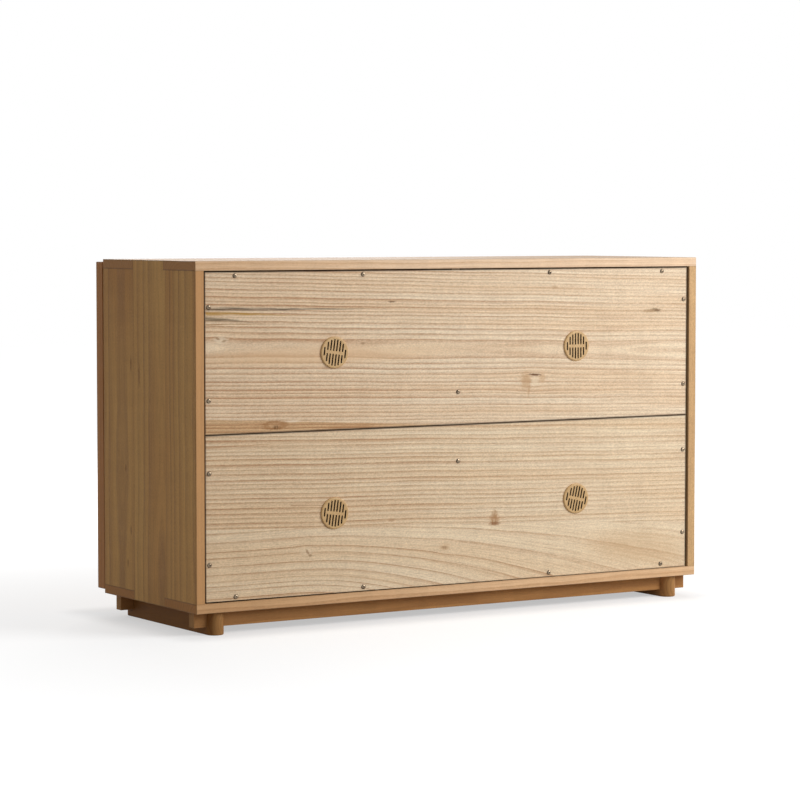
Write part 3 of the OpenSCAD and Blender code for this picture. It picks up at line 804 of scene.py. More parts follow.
def wood_material(name: str, wood: Wood, figure: Figure, low: Point, high: Point) -> bpy.types.Material:
    """Makes the material of one board, with its pattern solid through the wood.

    Args:
        name: The material's name.
        wood: The colours and the scale of the figure.
        figure: How this board was sawn.
        low, high: The board's corners.

    Returns:
        The finished material.
    """
    material, g = new_material(name)
    board = Board(low, high, figure.run)
    place = board.vector(g)
    vector = flow_round_knots(g, board, figure, place)
    rings = ring_lines(g, board, wood, figure, vector)
    fibre = Fibre.place(g, vector=vector, line=rings["Line"])
    arris_wear_and_shade = ArrisWear.place(g, vector=place, half_size=board.half, width=3 * MM)

    warmth = g.ramp(rings["Band"], 0.3, 0.7)
    if figure.staves:
        warmth = g.times_plus(rings["Stave"], 0.6, g.times(warmth, 0.5))
    colour = g.mix(g.times(warmth, wood.warm_share), paint(*wood.light), paint(*wood.warm))
    strength = wood.line_strength
    # Towards +X, away from the key lamp, the board grows darker and warmer and its lines stronger: partly
    # the wood's own tone, partly painted shade.
    if figure.warm_shaded_end:
        along, _, _ = g.split(place)
        end_warmth_and_shade = g.ramp(along, -0.15 * board.half[0], board.half[0], 0.0, figure.warm_shaded_end)
        colour = g.mix(end_warmth_and_shade, colour, paint(*wood.warm))
        strength = g.ramp(along, -board.half[0], board.half[0], 0.8 * strength, 1.4 * strength)
    fine = g.ramp(rings["Fine"], 0.35, 0.75, 0.0, wood.line_strength * 0.5)
    colour = g.mix(fine, colour, paint(*wood.line))
    colour = g.mix(g.times(rings["Line"], strength), colour, paint(*wood.line))
    silk = g.ramp(fibre["Silk"], 0.2, 0.8, 0.94, 1.05)
    silk = g.plus(silk, g.ramp(fibre["Figure"], 0.25, 0.75, -0.03, 0.03))
    silk = g.plus(silk, g.ramp(fibre["Grit"], 0.3, 0.7, -wood.grit, wood.grit))
    colour = g.mix(1.0, colour, silk, "MULTIPLY")
    colour = g.mix(g.times(fibre["Pores"], wood.pore_strength), colour, paint(*wood.end))
    colour = lay_marks(g, board, figure, place, colour)

    facing = [g.absolute(part) for part in g.split(g.node("NewGeometry").outputs["Normal"])]
    # Painted shade: the broad faces are multiplied by the face shade colour.
    if figure.face_shade:
        broad = g.ramp(facing[figure.run.value[2]], 0.7, 0.95)
        colour = g.mix(broad, colour, paint(*figure.face_shade), "MULTIPLY")
    # Painted light: the faces across the grain take the paler rim colour, as lit edges.
    if figure.rim:
        colour = g.mix(g.ramp(facing[figure.run.value[1]], 0.7, 0.95, 0.0, 0.65), colour, paint(*figure.rim))
    end_grain = g.ramp(facing[figure.run.value[0]], 0.6, 0.9)
    cut = g.mix(g.times(rings["Line"], 0.4), paint(*wood.end), paint(*darker(wood.end, 0.62)))
    colour = g.mix(g.times(end_grain, 0.8), colour, cut)
    colour = g.mix(g.times(rings["Seam"], 0.35), colour, paint(*wood.end))
    if figure.fingers:
        half_finger, reach, sign = figure.fingers
        seam = FingerSeams.place(
            g, vector=place, half_finger=half_finger, reach=reach, sign=sign, width=0.9 * MM,
        )["Seam"]
        colour = g.mix(g.times(seam, 0.5), colour, paint(*darker(wood.end, 0.45)))
    # Darker within a few millimetres of every edge. Below, a stronger dark line of painted shade is added
    # along the arrises of faces that face along X.
    edge = g.times(arris_wear_and_shade["Edge"], 0.12)
    if figure.arris_shade:
        sideways = g.times(arris_wear_and_shade["Edge"], g.ramp(facing[0], 0.3, 0.6))
        edge = g.times_plus(sideways, figure.arris_shade, edge)
    # Painted shade: narrow faces and a strip along the board's borders go near-black, as shade in the gaps.
    if figure.gap_edge_shade:
        narrow = g.ramp(facing[figure.run.value[2]], 0.3, 0.7, figure.gap_edge_shade, 0.0)
        shadow = g.times(arris_wear_and_shade["Edge"], 0.8 * figure.gap_edge_shade)
        colour = g.mix(g.larger(narrow, shadow), colour, paint(*GAP_SHADE))
    colour = g.mix(edge, colour, paint(*darker(wood.end, 0.6)))
    colour = g.mix(g.times(arris_wear_and_shade["Rub"], 0.1), colour, paint(*wood.light))

    rough = g.times_plus(rings["Line"], -0.08, wood.roughness)
    rough = g.times_plus(arris_wear_and_shade["Rub"], -0.06, rough)
    rough = g.times_plus(fibre["Silk"], 0.1, rough)
    height = g.times(fibre["Pores"], -0.05 * MM)
    height = g.times_plus(fibre["Silk"], 0.03 * MM, height)
    height = g.times_plus(rings["Line"], 0.04 * MM, height)
    g.cover({"Base Color": colour, "Roughness": rough, "Specular IOR Level": 0.12}, height, 0.7)
    return material


@dataclass(frozen=True)
class Plastic:
    """A moulded plastic."""

    colour: Colour
    shade: Colour
    # The painted shade in the slots.
    sunk: Colour
    roughness: float = 0.45

    def material(
        self, name: str, face: float, centres: list[np.ndarray], reach: float,
    ) -> bpy.types.Material:
        """Makes the plastic's material, with painted shade in the slots that sink behind the faces of the
        round vents.

        Args:
            name: The material's name.
            face: The faces' place along Y.
            centres: The middle of each vent.
            reach: How far from its vent's middle a slot may lie.

        Returns:
            The finished material.
        """
        material, g = new_material(name)
        place = g.position()
        skin = MouldedSkin.place(g, vector=place)
        colour = g.mix(g.ramp(skin["Cloud"], 0.3, 0.7), paint(*self.colour), paint(*self.shade))
        x, y, z = g.split(place)
        nearest = 1.0
        for centre in centres:
            aside = g.minus(x, float(centre[0]))
            above = g.minus(z, float(centre[2]))
            nearest = g.smaller(g.squares(aside, above), nearest)
        within = g.ramp(g.math("SQRT", nearest), reach, reach + 1 * MM, 1.0, 0.0)
        # Painted shade: the slot walls sunk behind each vent's face go near-black.
        sunk = g.ramp(y, face - 0.5 * MM, face - 0.05 * MM, 0.97, 0.0)
        colour = g.mix(g.times(sunk, within), colour, paint(*self.sunk))
        rough = g.times_plus(skin["Cloud"], 0.12, self.roughness - 0.06)
        height = g.times(skin["Pebble"], 0.03 * MM)
        g.cover({"Base Color": colour, "Roughness": rough}, height, 0.5)
        return material


@dataclass(frozen=True)
class Metal:
    """A plated or drawn metal, darker with dirt and painted shade where a piece carries a grime attribute.
    """

    colour: Colour
    dull: Colour
    roughness: float = 0.3

    def material(self, name: str) -> bpy.types.Material:
        """Makes the metal's material."""
        material, g = new_material(name)
        x, y, z = g.split(g.position())
        steel = DrawnSteel.place(g, vector=g.join(y, x, z))
        colour = g.mix(g.ramp(steel["Patch"], 0.35, 0.7), paint(*self.colour), paint(*self.dull))
        # Dirt and painted shade, where the piece's point attribute gives it: screw recesses and the feet of
        # the heads.
        grime_and_shade = g.times(g.node("Attribute", attribute_name="grime_and_shade").outputs["Fac"], 0.9)
        colour = g.mix(grime_and_shade, colour, paint(*GRIME_AND_SHADE))
        rough = g.times_plus(steel["Patch"], 0.2, self.roughness - 0.1)
        rough = g.times_plus(grime_and_shade, 0.3, rough)
        height = g.times(steel["Lines"], 0.008 * MM)
        g.cover({"Base Color": colour, "Roughness": rough, "Metallic": 1.0}, height, 0.4)
        return material


CASE_WOOD = Wood(light=(222, 182, 138), line=(172, 124, 80), warm=(206, 160, 114), end=(166, 110, 54))
BOTTOM_WOOD = replace(CASE_WOOD, light=(234, 196, 155), line=(182, 136, 94), warm=(206, 161, 114))
TOP_WOOD = replace(CASE_WOOD, light=(242, 215, 186), line=(200, 156, 114), warm=(222, 184, 143))
FRONT_WOOD = replace(CASE_WOOD, light=(218, 174, 128), line=(168, 120, 78), warm=(204, 156, 108))
# The right side's wood is darker and more saturated than the left side's: partly its own tone, partly
# painted shade for the shaded side.
SHADED_SIDE_WOOD = Wood(
    light=(218, 172, 107), line=(128, 84, 46), warm=(184, 130, 78), end=(150, 108, 64), ring_width=0.017,
    line_strength=0.5, warm_share=1.0, pore_strength=0.7, grit=0.11,
)
PALE_SIDE_WOOD = replace(SHADED_SIDE_WOOD, light=(208, 172, 126), warm=(196, 154, 106), line=(158, 114, 74))
FRAME_WOOD = Wood(light=(194, 138, 88), line=(146, 96, 56), warm=(178, 120, 72), end=(124, 80, 46))
BACK_WOOD = Wood(
    light=(239, 221, 193), line=(174, 126, 88), warm=(227, 194, 155), end=(152, 108, 70), ring_width=0.0070,
    line_strength=0.62, warm_share=0.5, pore_strength=0.6, grit=0.10, roughness=0.62,
)
LOWER_BACK_WOOD = replace(BACK_WOOD, light=(237, 219, 189), line=(173, 126, 87), warm=(223, 191, 151))
INNER_WOOD = Wood(light=(226, 198, 162), line=(190, 150, 110), warm=(216, 180, 140), end=(168, 128, 90))
BASE_WOOD = Wood(light=(188, 138, 86), line=(140, 94, 54), warm=(172, 120, 68), end=(164, 120, 72))
# Painted shade: a darker copy of the base wood, for the runner on the shaded +X side.
SHADED_RUNNER_WOOD = replace(BASE_WOOD, light=(150, 102, 52), line=(110, 70, 34), warm=(134, 88, 42))
HANDLE_WOOD = Wood(
    light=(206, 160, 112), line=(160, 114, 74), warm=(194, 144, 96), end=(136, 94, 58), roughness=0.42,
)
VENT_TAN = Plastic(colour=(200, 163, 110), shade=(189, 151, 98), sunk=(34, 22, 12))
NICKEL = Metal(colour=(142, 126, 106), dull=(96, 82, 68), roughness=0.17)
ZINC = Metal(colour=(190, 192, 194), dull=(162, 166, 170), roughness=0.34)


def soften(node: str, width: float, segments: int = 2) -> bpy.types.Object:
    """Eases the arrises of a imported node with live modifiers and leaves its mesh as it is.

    Args:
        node: The node's name.
        width: The width of the easing.
        segments: The steps in the easing.

    Returns:
        The node's object.
    """
    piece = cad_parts[node]
    weld = piece.modifiers.new("weld", "WELD")
    weld.merge_threshold = 0.01 * MM
    flat = piece.modifiers.new("flats", "DECIMATE")
    flat.decimate_type = "DISSOLVE"
    flat.angle_limit = math.radians(0.4)
    bevel = piece.modifiers.new("arris", "BEVEL")
    bevel.width = width
    bevel.segments = segments
    bevel.limit_method = "ANGLE"
    bevel.angle_limit = math.radians(50)
    bevel.harden_normals = True
    return piece


def dress(piece: bpy.types.Object, material: bpy.types.Material) -> None:
    """Gives a piece one material in place of what it had."""
    piece.data.materials.clear()
    piece.data.materials.append(material)


def solids(node: str) -> list[tuple[np.ndarray, np.ndarray]]:
    """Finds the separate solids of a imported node.

    Args:
        node: The node's name.

    Returns:
        The lowest and the highest corner of each solid.
    """
    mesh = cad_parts[node].data
    points = np.empty(len(mesh.vertices) * 3)
    mesh.vertices.foreach_get("co", points)
    points = points.reshape(-1, 3)
    corners = np.empty(len(mesh.loops), dtype=int)
    mesh.loops.foreach_get("vertex_index", corners)
    _, same = np.unique(np.round(points / (0.01 * MM)).astype(int), axis=0, return_inverse=True)
    corners = same.ravel()[corners].reshape(-1, 3)
    label = np.arange(same.max() + 1)
    while True:
        lowest = label[corners].min(axis=1)
        fresh = label.copy()
        for column in range(3):
            np.minimum.at(fresh, corners[:, column], lowest)
        fresh = fresh[fresh]
        if (fresh == label).all():
            break
        label = fresh
    owner = label[same.ravel()]
    return [(points[owner == k].min(axis=0), points[owner == k].max(axis=0)) for k in np.unique(owner)]


def surface(
    name: str, points: np.ndarray, faces: np.ndarray, body: str, grime_and_shade: np.ndarray | None = None,
) -> bpy.types.Object:
    """Makes a smooth piece from its points and faces, merges its seams and poles and lets it ride on a body.

    Args:
        name: The piece's name.
        points: The places of its points, n by 3.
        faces: The corners of each face.
        body: The body that it rides on.
        grime_and_shade: How much dirt and painted shade each point carries, from 0 to 1.

    Returns:
        The new object.
    """
    mesh = bpy.data.meshes.new(name)
    mesh.from_pydata(points.tolist(), [], faces.tolist())
    if grime_and_shade is not None:
        mesh.attributes.new("grime_and_shade", "FLOAT", "POINT").data.foreach_set("value", grime_and_shade)
    work = bmesh.new()
    work.from_mesh(mesh)
    bmesh.ops.remove_doubles(work, verts=work.verts, dist=0.002 * MM)
    bmesh.ops.dissolve_degenerate(work, edges=work.edges, dist=0.001 * MM)
    bmesh.ops.recalc_face_normals(work, faces=work.faces)
    work.to_mesh(mesh)
    work.free()
    mesh.shade_smooth()
    mesh.set_sharp_from_angle(angle=math.radians(38))
    piece = bpy.data.objects.new(name, mesh)
    bpy.context.scene.collection.objects.link(piece)
    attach(piece, body)
    return piece


def grid_faces(rows: int, columns: int) -> np.ndarray:
    """Joins a grid of points into four-cornered faces, with the last column joined to the first.

    Args:
        rows: Points down the grid.
        columns: Points across the grid.

    Returns:
        The four corners of each face.
    """
    index = np.arange(rows * columns).reshape(rows, columns)
    index = np.hstack([index, index[:, :1]])
    corners = [index[:-1, :-1], index[:-1, 1:], index[1:, 1:], index[1:, :-1]]
    return np.stack(corners, axis=-1).reshape(-1, 4)


@dataclass(frozen=True)
class DomedScrew:
    """A screw head with a domed top and a cross recess, standing on its seat with a stub of shank below."""

    radius: float
    height: float
    recess_width: float = 0.5 * MM
    recess_reach: float = 1.7 * MM
    recess_depth: float = 0.8 * MM
    stub: float = 6 * MM
    shank_radius: float = 1.75 * MM
    turns: int = 40

    def points(self) -> tuple[np.ndarray, np.ndarray]:
        """Works out the head's points, rows from the stub's tip to the top of the dome.

        The dome's height falls with the root of one less the square of the radius share. Within the arms of
        the cross it sinks by the recess depth, and the walls of the recess lean like soft steps. Dirt and
        painted shade fill the recess and the foot of the dome.

        Returns:
            The points, rows by turns by 3, with the seat at z = 0 and the head above, and the share of dirt
            and painted shade at each.
        """
        angle = np.linspace(0, 2 * math.pi, self.turns, endpoint=False)
        shank = self.shank_radius
        under = np.array([(0.0, -self.stub), (shank, -self.stub), (shank, 0.0), (self.radius, 0.0)])
        share = np.cos(np.linspace(0.08, 0.5 * math.pi, 15))
        rim = 0.24 * self.height
        dome = np.column_stack([self.radius * share, rim + (self.height - rim) * np.sqrt(1 - share ** 2)])
        profile = np.vstack([under, dome])
        reach, level = profile[:, :1], profile[:, 1:]
        x = reach * np.cos(angle)
        y = reach * np.sin(angle)
        arm = np.minimum(np.abs(x), np.abs(y))
        step = np.clip((self.recess_width - arm) / (0.5 * self.recess_width), 0, 1)
        end = np.clip((self.recess_reach - np.hypot(x, y)) / (0.8 * MM), 0, 1)
        sunk = (level > rim) * step * end
        # Dirt and painted shade round the foot of the dome.
        foot = np.clip((2.6 * rim - level) / rim, 0, 1) + 0 * x
        return np.stack([x, y, level - sunk * self.recess_depth], axis=-1), np.maximum(sunk, foot)


SCREW_HEAD = DomedScrew(radius=4.5 * MM, height=2.8 * MM)


class Facing(Enum):
    """The axis that a screw's head faces along, and which way."""

    BACK = (1, 1)
    DOWN = (2, -1)


def screws(name: str, node: str, facing: Facing, turn: float, body: str) -> bpy.types.Object:
    """Replaces the screws of one node by finer ones, each at its own place and turned a little differently.

    Args:
        name: The new piece's name.
        node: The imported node.
        facing: Where the heads face.
        turn: How much the cross turns from one screw to the next.
        body: The body that the screws ride on.

    Returns:
        The new object.
    """
    axis, sign = facing.value
    shape, grime_and_shade = SCREW_HEAD.points()
    rows, columns = shape.shape[:2]
    faces = grid_faces(rows, columns)
    all_points, all_faces = [], []
    for number, (low, high) in enumerate(solids(node)):
        centre = (low + high) / 2
        seat = high[axis] - SCREW_HEAD.height if sign > 0 else low[axis] + SCREW_HEAD.height
        angle = turn * number
        x = shape[..., 0] * math.cos(angle) - shape[..., 1] * math.sin(angle)
        y = shape[..., 0] * math.sin(angle) + shape[..., 1] * math.cos(angle)
        placed = np.empty_like(shape)
        others = [k for k in range(3) if k != axis]
        placed[..., others[0]] = centre[others[0]] + x
        placed[..., others[1]] = centre[others[1]] + y
        placed[..., axis] = seat + sign * shape[..., 2]
        all_faces.append(faces + number * rows * columns)
        all_points.append(placed.reshape(-1, 3))
    dirt_and_shade = np.tile(grime_and_shade.ravel(), len(all_points))
    piece = surface(name, np.vstack(all_points), np.vstack(all_faces), body, dirt_and_shade)
    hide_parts(node)
    return piece


@dataclass(frozen=True)
class BarHandle:
    """A round-ended wooden bar handle whose grip stands clear between two solid feet."""

    length: float
    height: float
    depth: float
    grip: float
    foot: float
    round_front: float = 3.2 * MM
    round_back: float = 1.6 * MM
    scoop: float = 7 * MM

    def points(self, centre: Point) -> np.ndarray:
        """Works out the handle's points round its middle.

        A profile from the middle of the face over the rounded rim to the middle of the back is carried round
        the half-round-ended outline. The back lies against the drawer at the feet and sweeps up to the grip
        in a quarter wave.

        Args:
            centre: The middle of the handle's seat on the drawer front.

        Returns:
            The points, profile rows by outline columns by 3.
        """
        end_r = self.height / 2
        straight = self.length / 2 - end_r
        inner = self.length / 2 - self.foot
        run = np.concatenate([
            np.linspace(-straight, -inner - self.scoop, 3, endpoint=False),
            np.linspace(-inner - self.scoop, -inner, 9, endpoint=False),
            np.linspace(-inner, inner, 15, endpoint=False),
            np.linspace(inner, inner + self.scoop, 9, endpoint=False),
            np.linspace(inner + self.scoop, straight, 3, endpoint=False),
        ])
        arc = np.linspace(-0.5 * math.pi, 0.5 * math.pi, 17)[:-1]
        zero = np.zeros_like(run)
        ones = np.ones_like(run)
        base_x = np.concatenate([run, np.full(arc.size, straight), -run, np.full(arc.size, -straight)])
        out_x = np.concatenate([zero, np.cos(arc), zero, -np.cos(arc)])
        out_z = np.concatenate([-ones, np.sin(arc), ones, -np.sin(arc)])
        turn = np.linspace(0, 0.5 * math.pi, 7)
        front_inset = np.concatenate([[end_r, 0.6 * end_r], self.round_front * (1 - np.sin(turn))])
        front_depth = np.concatenate([[0, 0], self.round_front * (1 - np.cos(turn))])
        back_inset = np.concatenate([self.round_back * (1 - np.cos(turn)), [0.6 * end_r, end_r]])
        back_rise = np.concatenate([self.round_back * (1 - np.sin(turn)), [0, 0]])

        def ring(inset: np.ndarray) -> tuple[np.ndarray, np.ndarray]:
            """Returns the outline moved in by each inset."""
            reach = end_r - inset[:, None]
            return base_x + out_x * reach, out_z * reach

        front_x, front_z = ring(front_inset)
        back_x, back_z = ring(back_inset)
        share = np.clip((np.abs(back_x) - inner) / self.scoop, 0, 1)
        back_y = -(self.depth - self.grip) * np.cos(0.5 * math.pi * share) ** 1.4
        back_y = back_y - back_rise[:, None]
        front_y = -self.depth + np.repeat(front_depth[:, None], base_x.size, axis=1)
        x = np.vstack([front_x, back_x]) + centre[0]
        y = np.vstack([front_y, back_y]) + centre[1]
        z = np.vstack([front_z, back_z]) + centre[2]
        return np.stack([x, y, z], axis=-1)


DRAWER_HANDLE = BarHandle(length=180 * MM, height=20 * MM, depth=28 * MM, grip=11 * MM, foot=26 * MM)


def cut_board(node: str, wood: Wood, figure: Figure, arris: float, segments: int = 2) -> None:
    """Eases one board and gives it its own cut of wood.

    Args:
        node: The board's node.
        wood: The kind of wood.
        figure: How the board was sawn.
        arris: The width of its eased edges, or nought for edges left as sawn.
        segments: The steps in the easing.
    """
    low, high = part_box(node)
    piece = soften(node, arris, segments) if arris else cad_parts[node]
    dress(piece, wood_material(node + "_wood", wood, figure, tuple(low), tuple(high)))
    marks = len(figure.marks)
    log.info("%s: eased by %.2f mm, grain %s, %d marks", node, arris / MM, figure.run.name, marks)


@dataclass
class Case:
    """The finger-jointed case, its partition and cleats."""

    arris: float = 0.35 * MM
    stave: float = 133.5 * MM
    first_stave_cut: float = 20 * MM

    def dress(self) -> None:
        """Gives each board of the case its own cut of wood."""
        bottom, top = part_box("bottom_board")[0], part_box("top_board")[1]
        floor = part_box("bottom_board")[1].z
        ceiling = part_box("top_board")[0].z
        board = floor - bottom.z
        half_finger = (top.y - bottom.y) / 6
        # Painted shade: the flat boards grow darker and warmer towards +X, partly their own tone. Both kinds
        # get a dark line along the arrises of faces that face along X.
        flat = {"staves": self.stave, "stave_start": bottom.y - self.first_stave_cut, "warm_shaded_end": 0.85,
                "fingers": (half_finger, top.x - board, 1.0), "arris_shade": 0.45}
        upright = {"staves": self.stave, "stave_start": bottom.y, "wander": 0.010, "pith_depth": 0.05,
                   "fingers": (half_finger, (ceiling - floor) / 2, -1.0), "arris_shade": 0.45}
        places = ((305, -68, 10), (183, -47, 12), (116, -61, 10), (493, -9, 26), (512, -44, 18))
        flecks = tuple(Mark(up, back, reach, 3.2, (104, 66, 36), 0.6) for up, back, reach in places)
        cleat = {"staves": 0.07, "stave_start": -0.7}
        cuts = {
            # Painted shade: the top board's upper face is dimmed and greyed, standing in for a dull grey
            # grazing reflection.
            "top_board": (TOP_WOOD, Figure(Run.X_FLAT_Z, 11.0, face_shade=(218, 216, 214), **flat)),
            "bottom_board": (BOTTOM_WOOD, Figure(Run.X_FLAT_Z, 23.0, **flat)),
            # Painted shade: the right side gets the darker wood, and painted light pales its edges across
            # the board, as lit.
            "right_side": (SHADED_SIDE_WOOD, Figure(
                Run.Z_FLAT_X, 31.0, marks=flecks, rim=(208, 158, 110), **upright,
            )),
            "left_side": (PALE_SIDE_WOOD, Figure(Run.Z_FLAT_X, 37.0, **upright)),
            "centre_partition": (INNER_WOOD, Figure(Run.Z_FLAT_X, 41.0, staves=0.12, stave_start=-0.2)),
            # Painted shade: the cleats' broad faces, seen only through the gaps, are multiplied near-black.
            "side_cleats": (INNER_WOOD, Figure(Run.Z_FLAT_Y, 47.0, face_shade=GAP_SHADE, **cleat)),
            "cross_cleats": (INNER_WOOD, Figure(Run.X_FLAT_Y, 48.0, face_shade=GAP_SHADE, **cleat)),
            "slide_packers": (INNER_WOOD, Figure(Run.Y_FLAT_X, 49.0, **cleat)),
        }
        for name, (wood, figure) in cuts.items():
            cut_board(name, wood, figure, self.arris)


@dataclass
class Back:
    """The two back boards with the marks of their wood, their screws and the four vents."""

    arris: float = 0.0
    cross_turn: float = 0.7
    slot_reach: float = 27 * MM

    def dress(self) -> None:
        """Dresses the boards and vents and makes the screws."""
        cut_board("upper_back_board", BACK_WOOD, self.upper_figure(), self.arris)
        cut_board("lower_back_board", LOWER_BACK_WOOD, self.lower_figure(), self.arris)
        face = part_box("vent_grilles")[1].y
        centres = [(low + high) / 2 for low, high in solids("vent_grilles")]
        plastic = VENT_TAN.material("vent_tan_skin", face, centres, self.slot_reach)
        dress(soften("vent_grilles", 0.25 * MM), plastic)
        heads = screws("back_screw_heads", "back_screws", Facing.BACK, self.cross_turn, "carcase")
        dress(heads, NICKEL.material("nickel"))
        log.info("back screws: %d points", len(heads.data.vertices))

    @staticmethod
    def upper_figure() -> Figure:
        """Returns the cut of the upper board: its streaks, knots and the tan strip along its lower edge."""
        return Figure(
            Run.X_FLAT_Y, 3.0, pith_across=-0.004, pith_slope=0.028, pith_depth=0.032, wander=0.004,
            # Painted shade: darker and warmer towards +X, partly the board's own tone, with near-black edges
            # for the gaps.
            warm_shaded_end=0.35, gap_edge_shade=0.9,
            knots=(Knot(543, 568, 20, 9, 0.5), Knot(-184, 468, 44, 22, 0.5), Knot(-489, 608, 32, 6, 0.5),
                   Knot(425, 400, 34, 10, 0.5)),
            strips=(Strip((578, 417), (185, 396), (232, 215, 192), 0.85),),
            stains=(
                Stain((578, 627), (150, 622), 5.5, (84, 72, 58), 1.0),
                Stain((578, 619), (330, 612), 5.5, (178, 134, 52), 1.0),
                Stain((578, 609), (450, 599), 6.5, (100, 84, 60), 0.9),
                Stain((578, 598), (371, 596), 2.4, (160, 112, 60), 0.8),
            ),
            marks=(
                Mark(340, 534, 330, 22, (226, 190, 150), 0.55),
                Mark(543, 568, 18, 9, (240, 224, 196), 0.5),
                Mark(550, 571, 6, 2.6, (146, 108, 72), 0.65, lean=22),
                Mark(536, 566, 7, 2.8, (146, 108, 72), 0.6, lean=-16),
                Mark(157, 636, 11, 2.2, (112, 82, 54), 0.75),
                Mark(225, 555, 6, 2.4, (140, 104, 70), 0.6),
                Mark(-237, 660, 9, 5, (176, 140, 104), 0.45),
                Mark(-488, 609, 30, 4.6, (148, 116, 76), 0.55, lean=-5),
                Mark(-499, 609, 12, 4.0, (100, 76, 50), 0.6, lean=9),
                Mark(-166, 471, 16, 22, (188, 148, 106), 0.6),
                Mark(-173, 451, 3.5, 17, (184, 144, 104), 0.5, lean=8),
                Mark(-206, 475, 10, 14, (196, 158, 118), 0.5),
                Mark(-188, 468, 11, 11, (232, 210, 178), 0.6),
                Mark(-188, 482, 18, 3.0, (96, 58, 34), 0.9, lean=3),
                Mark(258, 391, 80, 5, (178, 130, 88), 0.5),
                Mark(425, 401, 28, 9, (158, 112, 70), 0.75, hollow=0.8),
                Mark(421, 396, 11, 5.0, (110, 76, 46), 0.75, threads=0.8),
                Mark(384, 407, 20, 2.5, (240, 222, 196), 0.6),
            ),
        )

    @staticmethod
    def lower_figure() -> Figure:
        """Returns the cut of the lower board, glued from two staves, with its knots, streaks and marks.

        The upper stave's lines run straight. The lower one's fan out and fall towards the -X end.
        """
        lower_stave = Figure(
            Run.X_FLAT_Y, 19.0, pith_across=-0.185, pith_depth=0.02, wander=0.003, growth=0.42,
            ring_width=0.0058, sharpness=6.0, fan=(232, 400, 3.4),
        )
        return Figure(
            Run.X_FLAT_Y, 8.0, pith_across=-0.35, pith_slope=0.03, pith_depth=0.10, wander=0.004,
            # Painted shade: darker and warmer towards +X, partly the board's own tone, with near-black edges
            # for the gaps.
            ring_width=0.0090, warm_shaded_end=0.35, gap_edge_shade=0.9, joint=((578, 206), (-577, 162)),
            under=lower_stave,
            knots=(Knot(354, 150, 18, 16, 0.4), Knot(32, 141, 22, 15, 0.6), Knot(-89, 196, 24, 14, 0.5)),
            stains=(
                Stain((578, 363), (300, 366), 2.2, (178, 126, 82), 0.6),
                Stain((391, 243), (240, 236), 2.6, (150, 104, 66), 0.7),
            ),
            marks=(
                Mark(354, 150, 16, 9, (236, 214, 182), 0.45),
                Mark(352, 150, 8, 3.2, (148, 110, 76), 0.65, lean=55),
                Mark(346, 143, 5, 2.8, (140, 100, 66), 0.6),
                Mark(32, 141, 16, 9, (188, 148, 108), 0.4),
                Mark(32, 140, 8, 3.6, (142, 102, 66), 0.7, threads=0.5),
                Mark(-89, 188, 14, 27, (168, 124, 82), 0.85, taper=0.45, foot=-0.33, threads=0.5),
                Mark(-89, 182, 15, 5, (134, 90, 58), 0.6),
                Mark(159, 202, 10, 4, (170, 130, 94), 0.5),
                Mark(-470, 112, 190, 50, (198, 160, 116), 0.4, lean=6),
            ),
        )


@dataclass
class Base:
    """The low base of two round-ended runners and two stretchers."""

    arris: float = 1.8 * MM
    cross_turn: float = 0.9

    def dress(self) -> None:
        """Eases and dresses the runners and stretchers and makes the screws."""
        runs = {
            "left_runner": (Run.Y_FLAT_X, 53.0), "right_runner": (Run.Y_FLAT_X, 59.0),
            "front_stretcher": (Run.X_FLAT_Y, 61.0), "rear_stretcher": (Run.X_FLAT_Y, 67.0),
        }
        for name, (run, seed) in runs.items():
            # Painted shade: the right runner, on the shaded +X side, gets the darker copy of the base wood.
            wood = SHADED_RUNNER_WOOD if name == "right_runner" else BASE_WOOD
            cut_board(name, wood, Figure(run, seed, pith_depth=0.03), self.arris, 3)
        heads = screws("base_screw_heads", "base_screws", Facing.DOWN, self.cross_turn, "carcase")
        dress(heads, bpy.data.materials["nickel"])


@dataclass
class FrontFrame:
    """The stiles and rails round the drawers."""

    arris: float = 0.5 * MM

    def dress(self) -> None:
        """Eases and dresses each stile and rail."""
        seed = 71.0
        for name in ("left_stile", "right_stile", "centre_stile", "top_rail", "middle_rail", "bottom_rail"):
            run = Run.Z_FLAT_Y if name.endswith("stile") else Run.X_FLAT_Y
            seed += 2.3
            # Painted shade: a dark line along the arrises of the faces that face along X.
            cut_board(name, FRAME_WOOD, Figure(run, seed, pith_depth=0.05, arris_shade=0.6), self.arris)


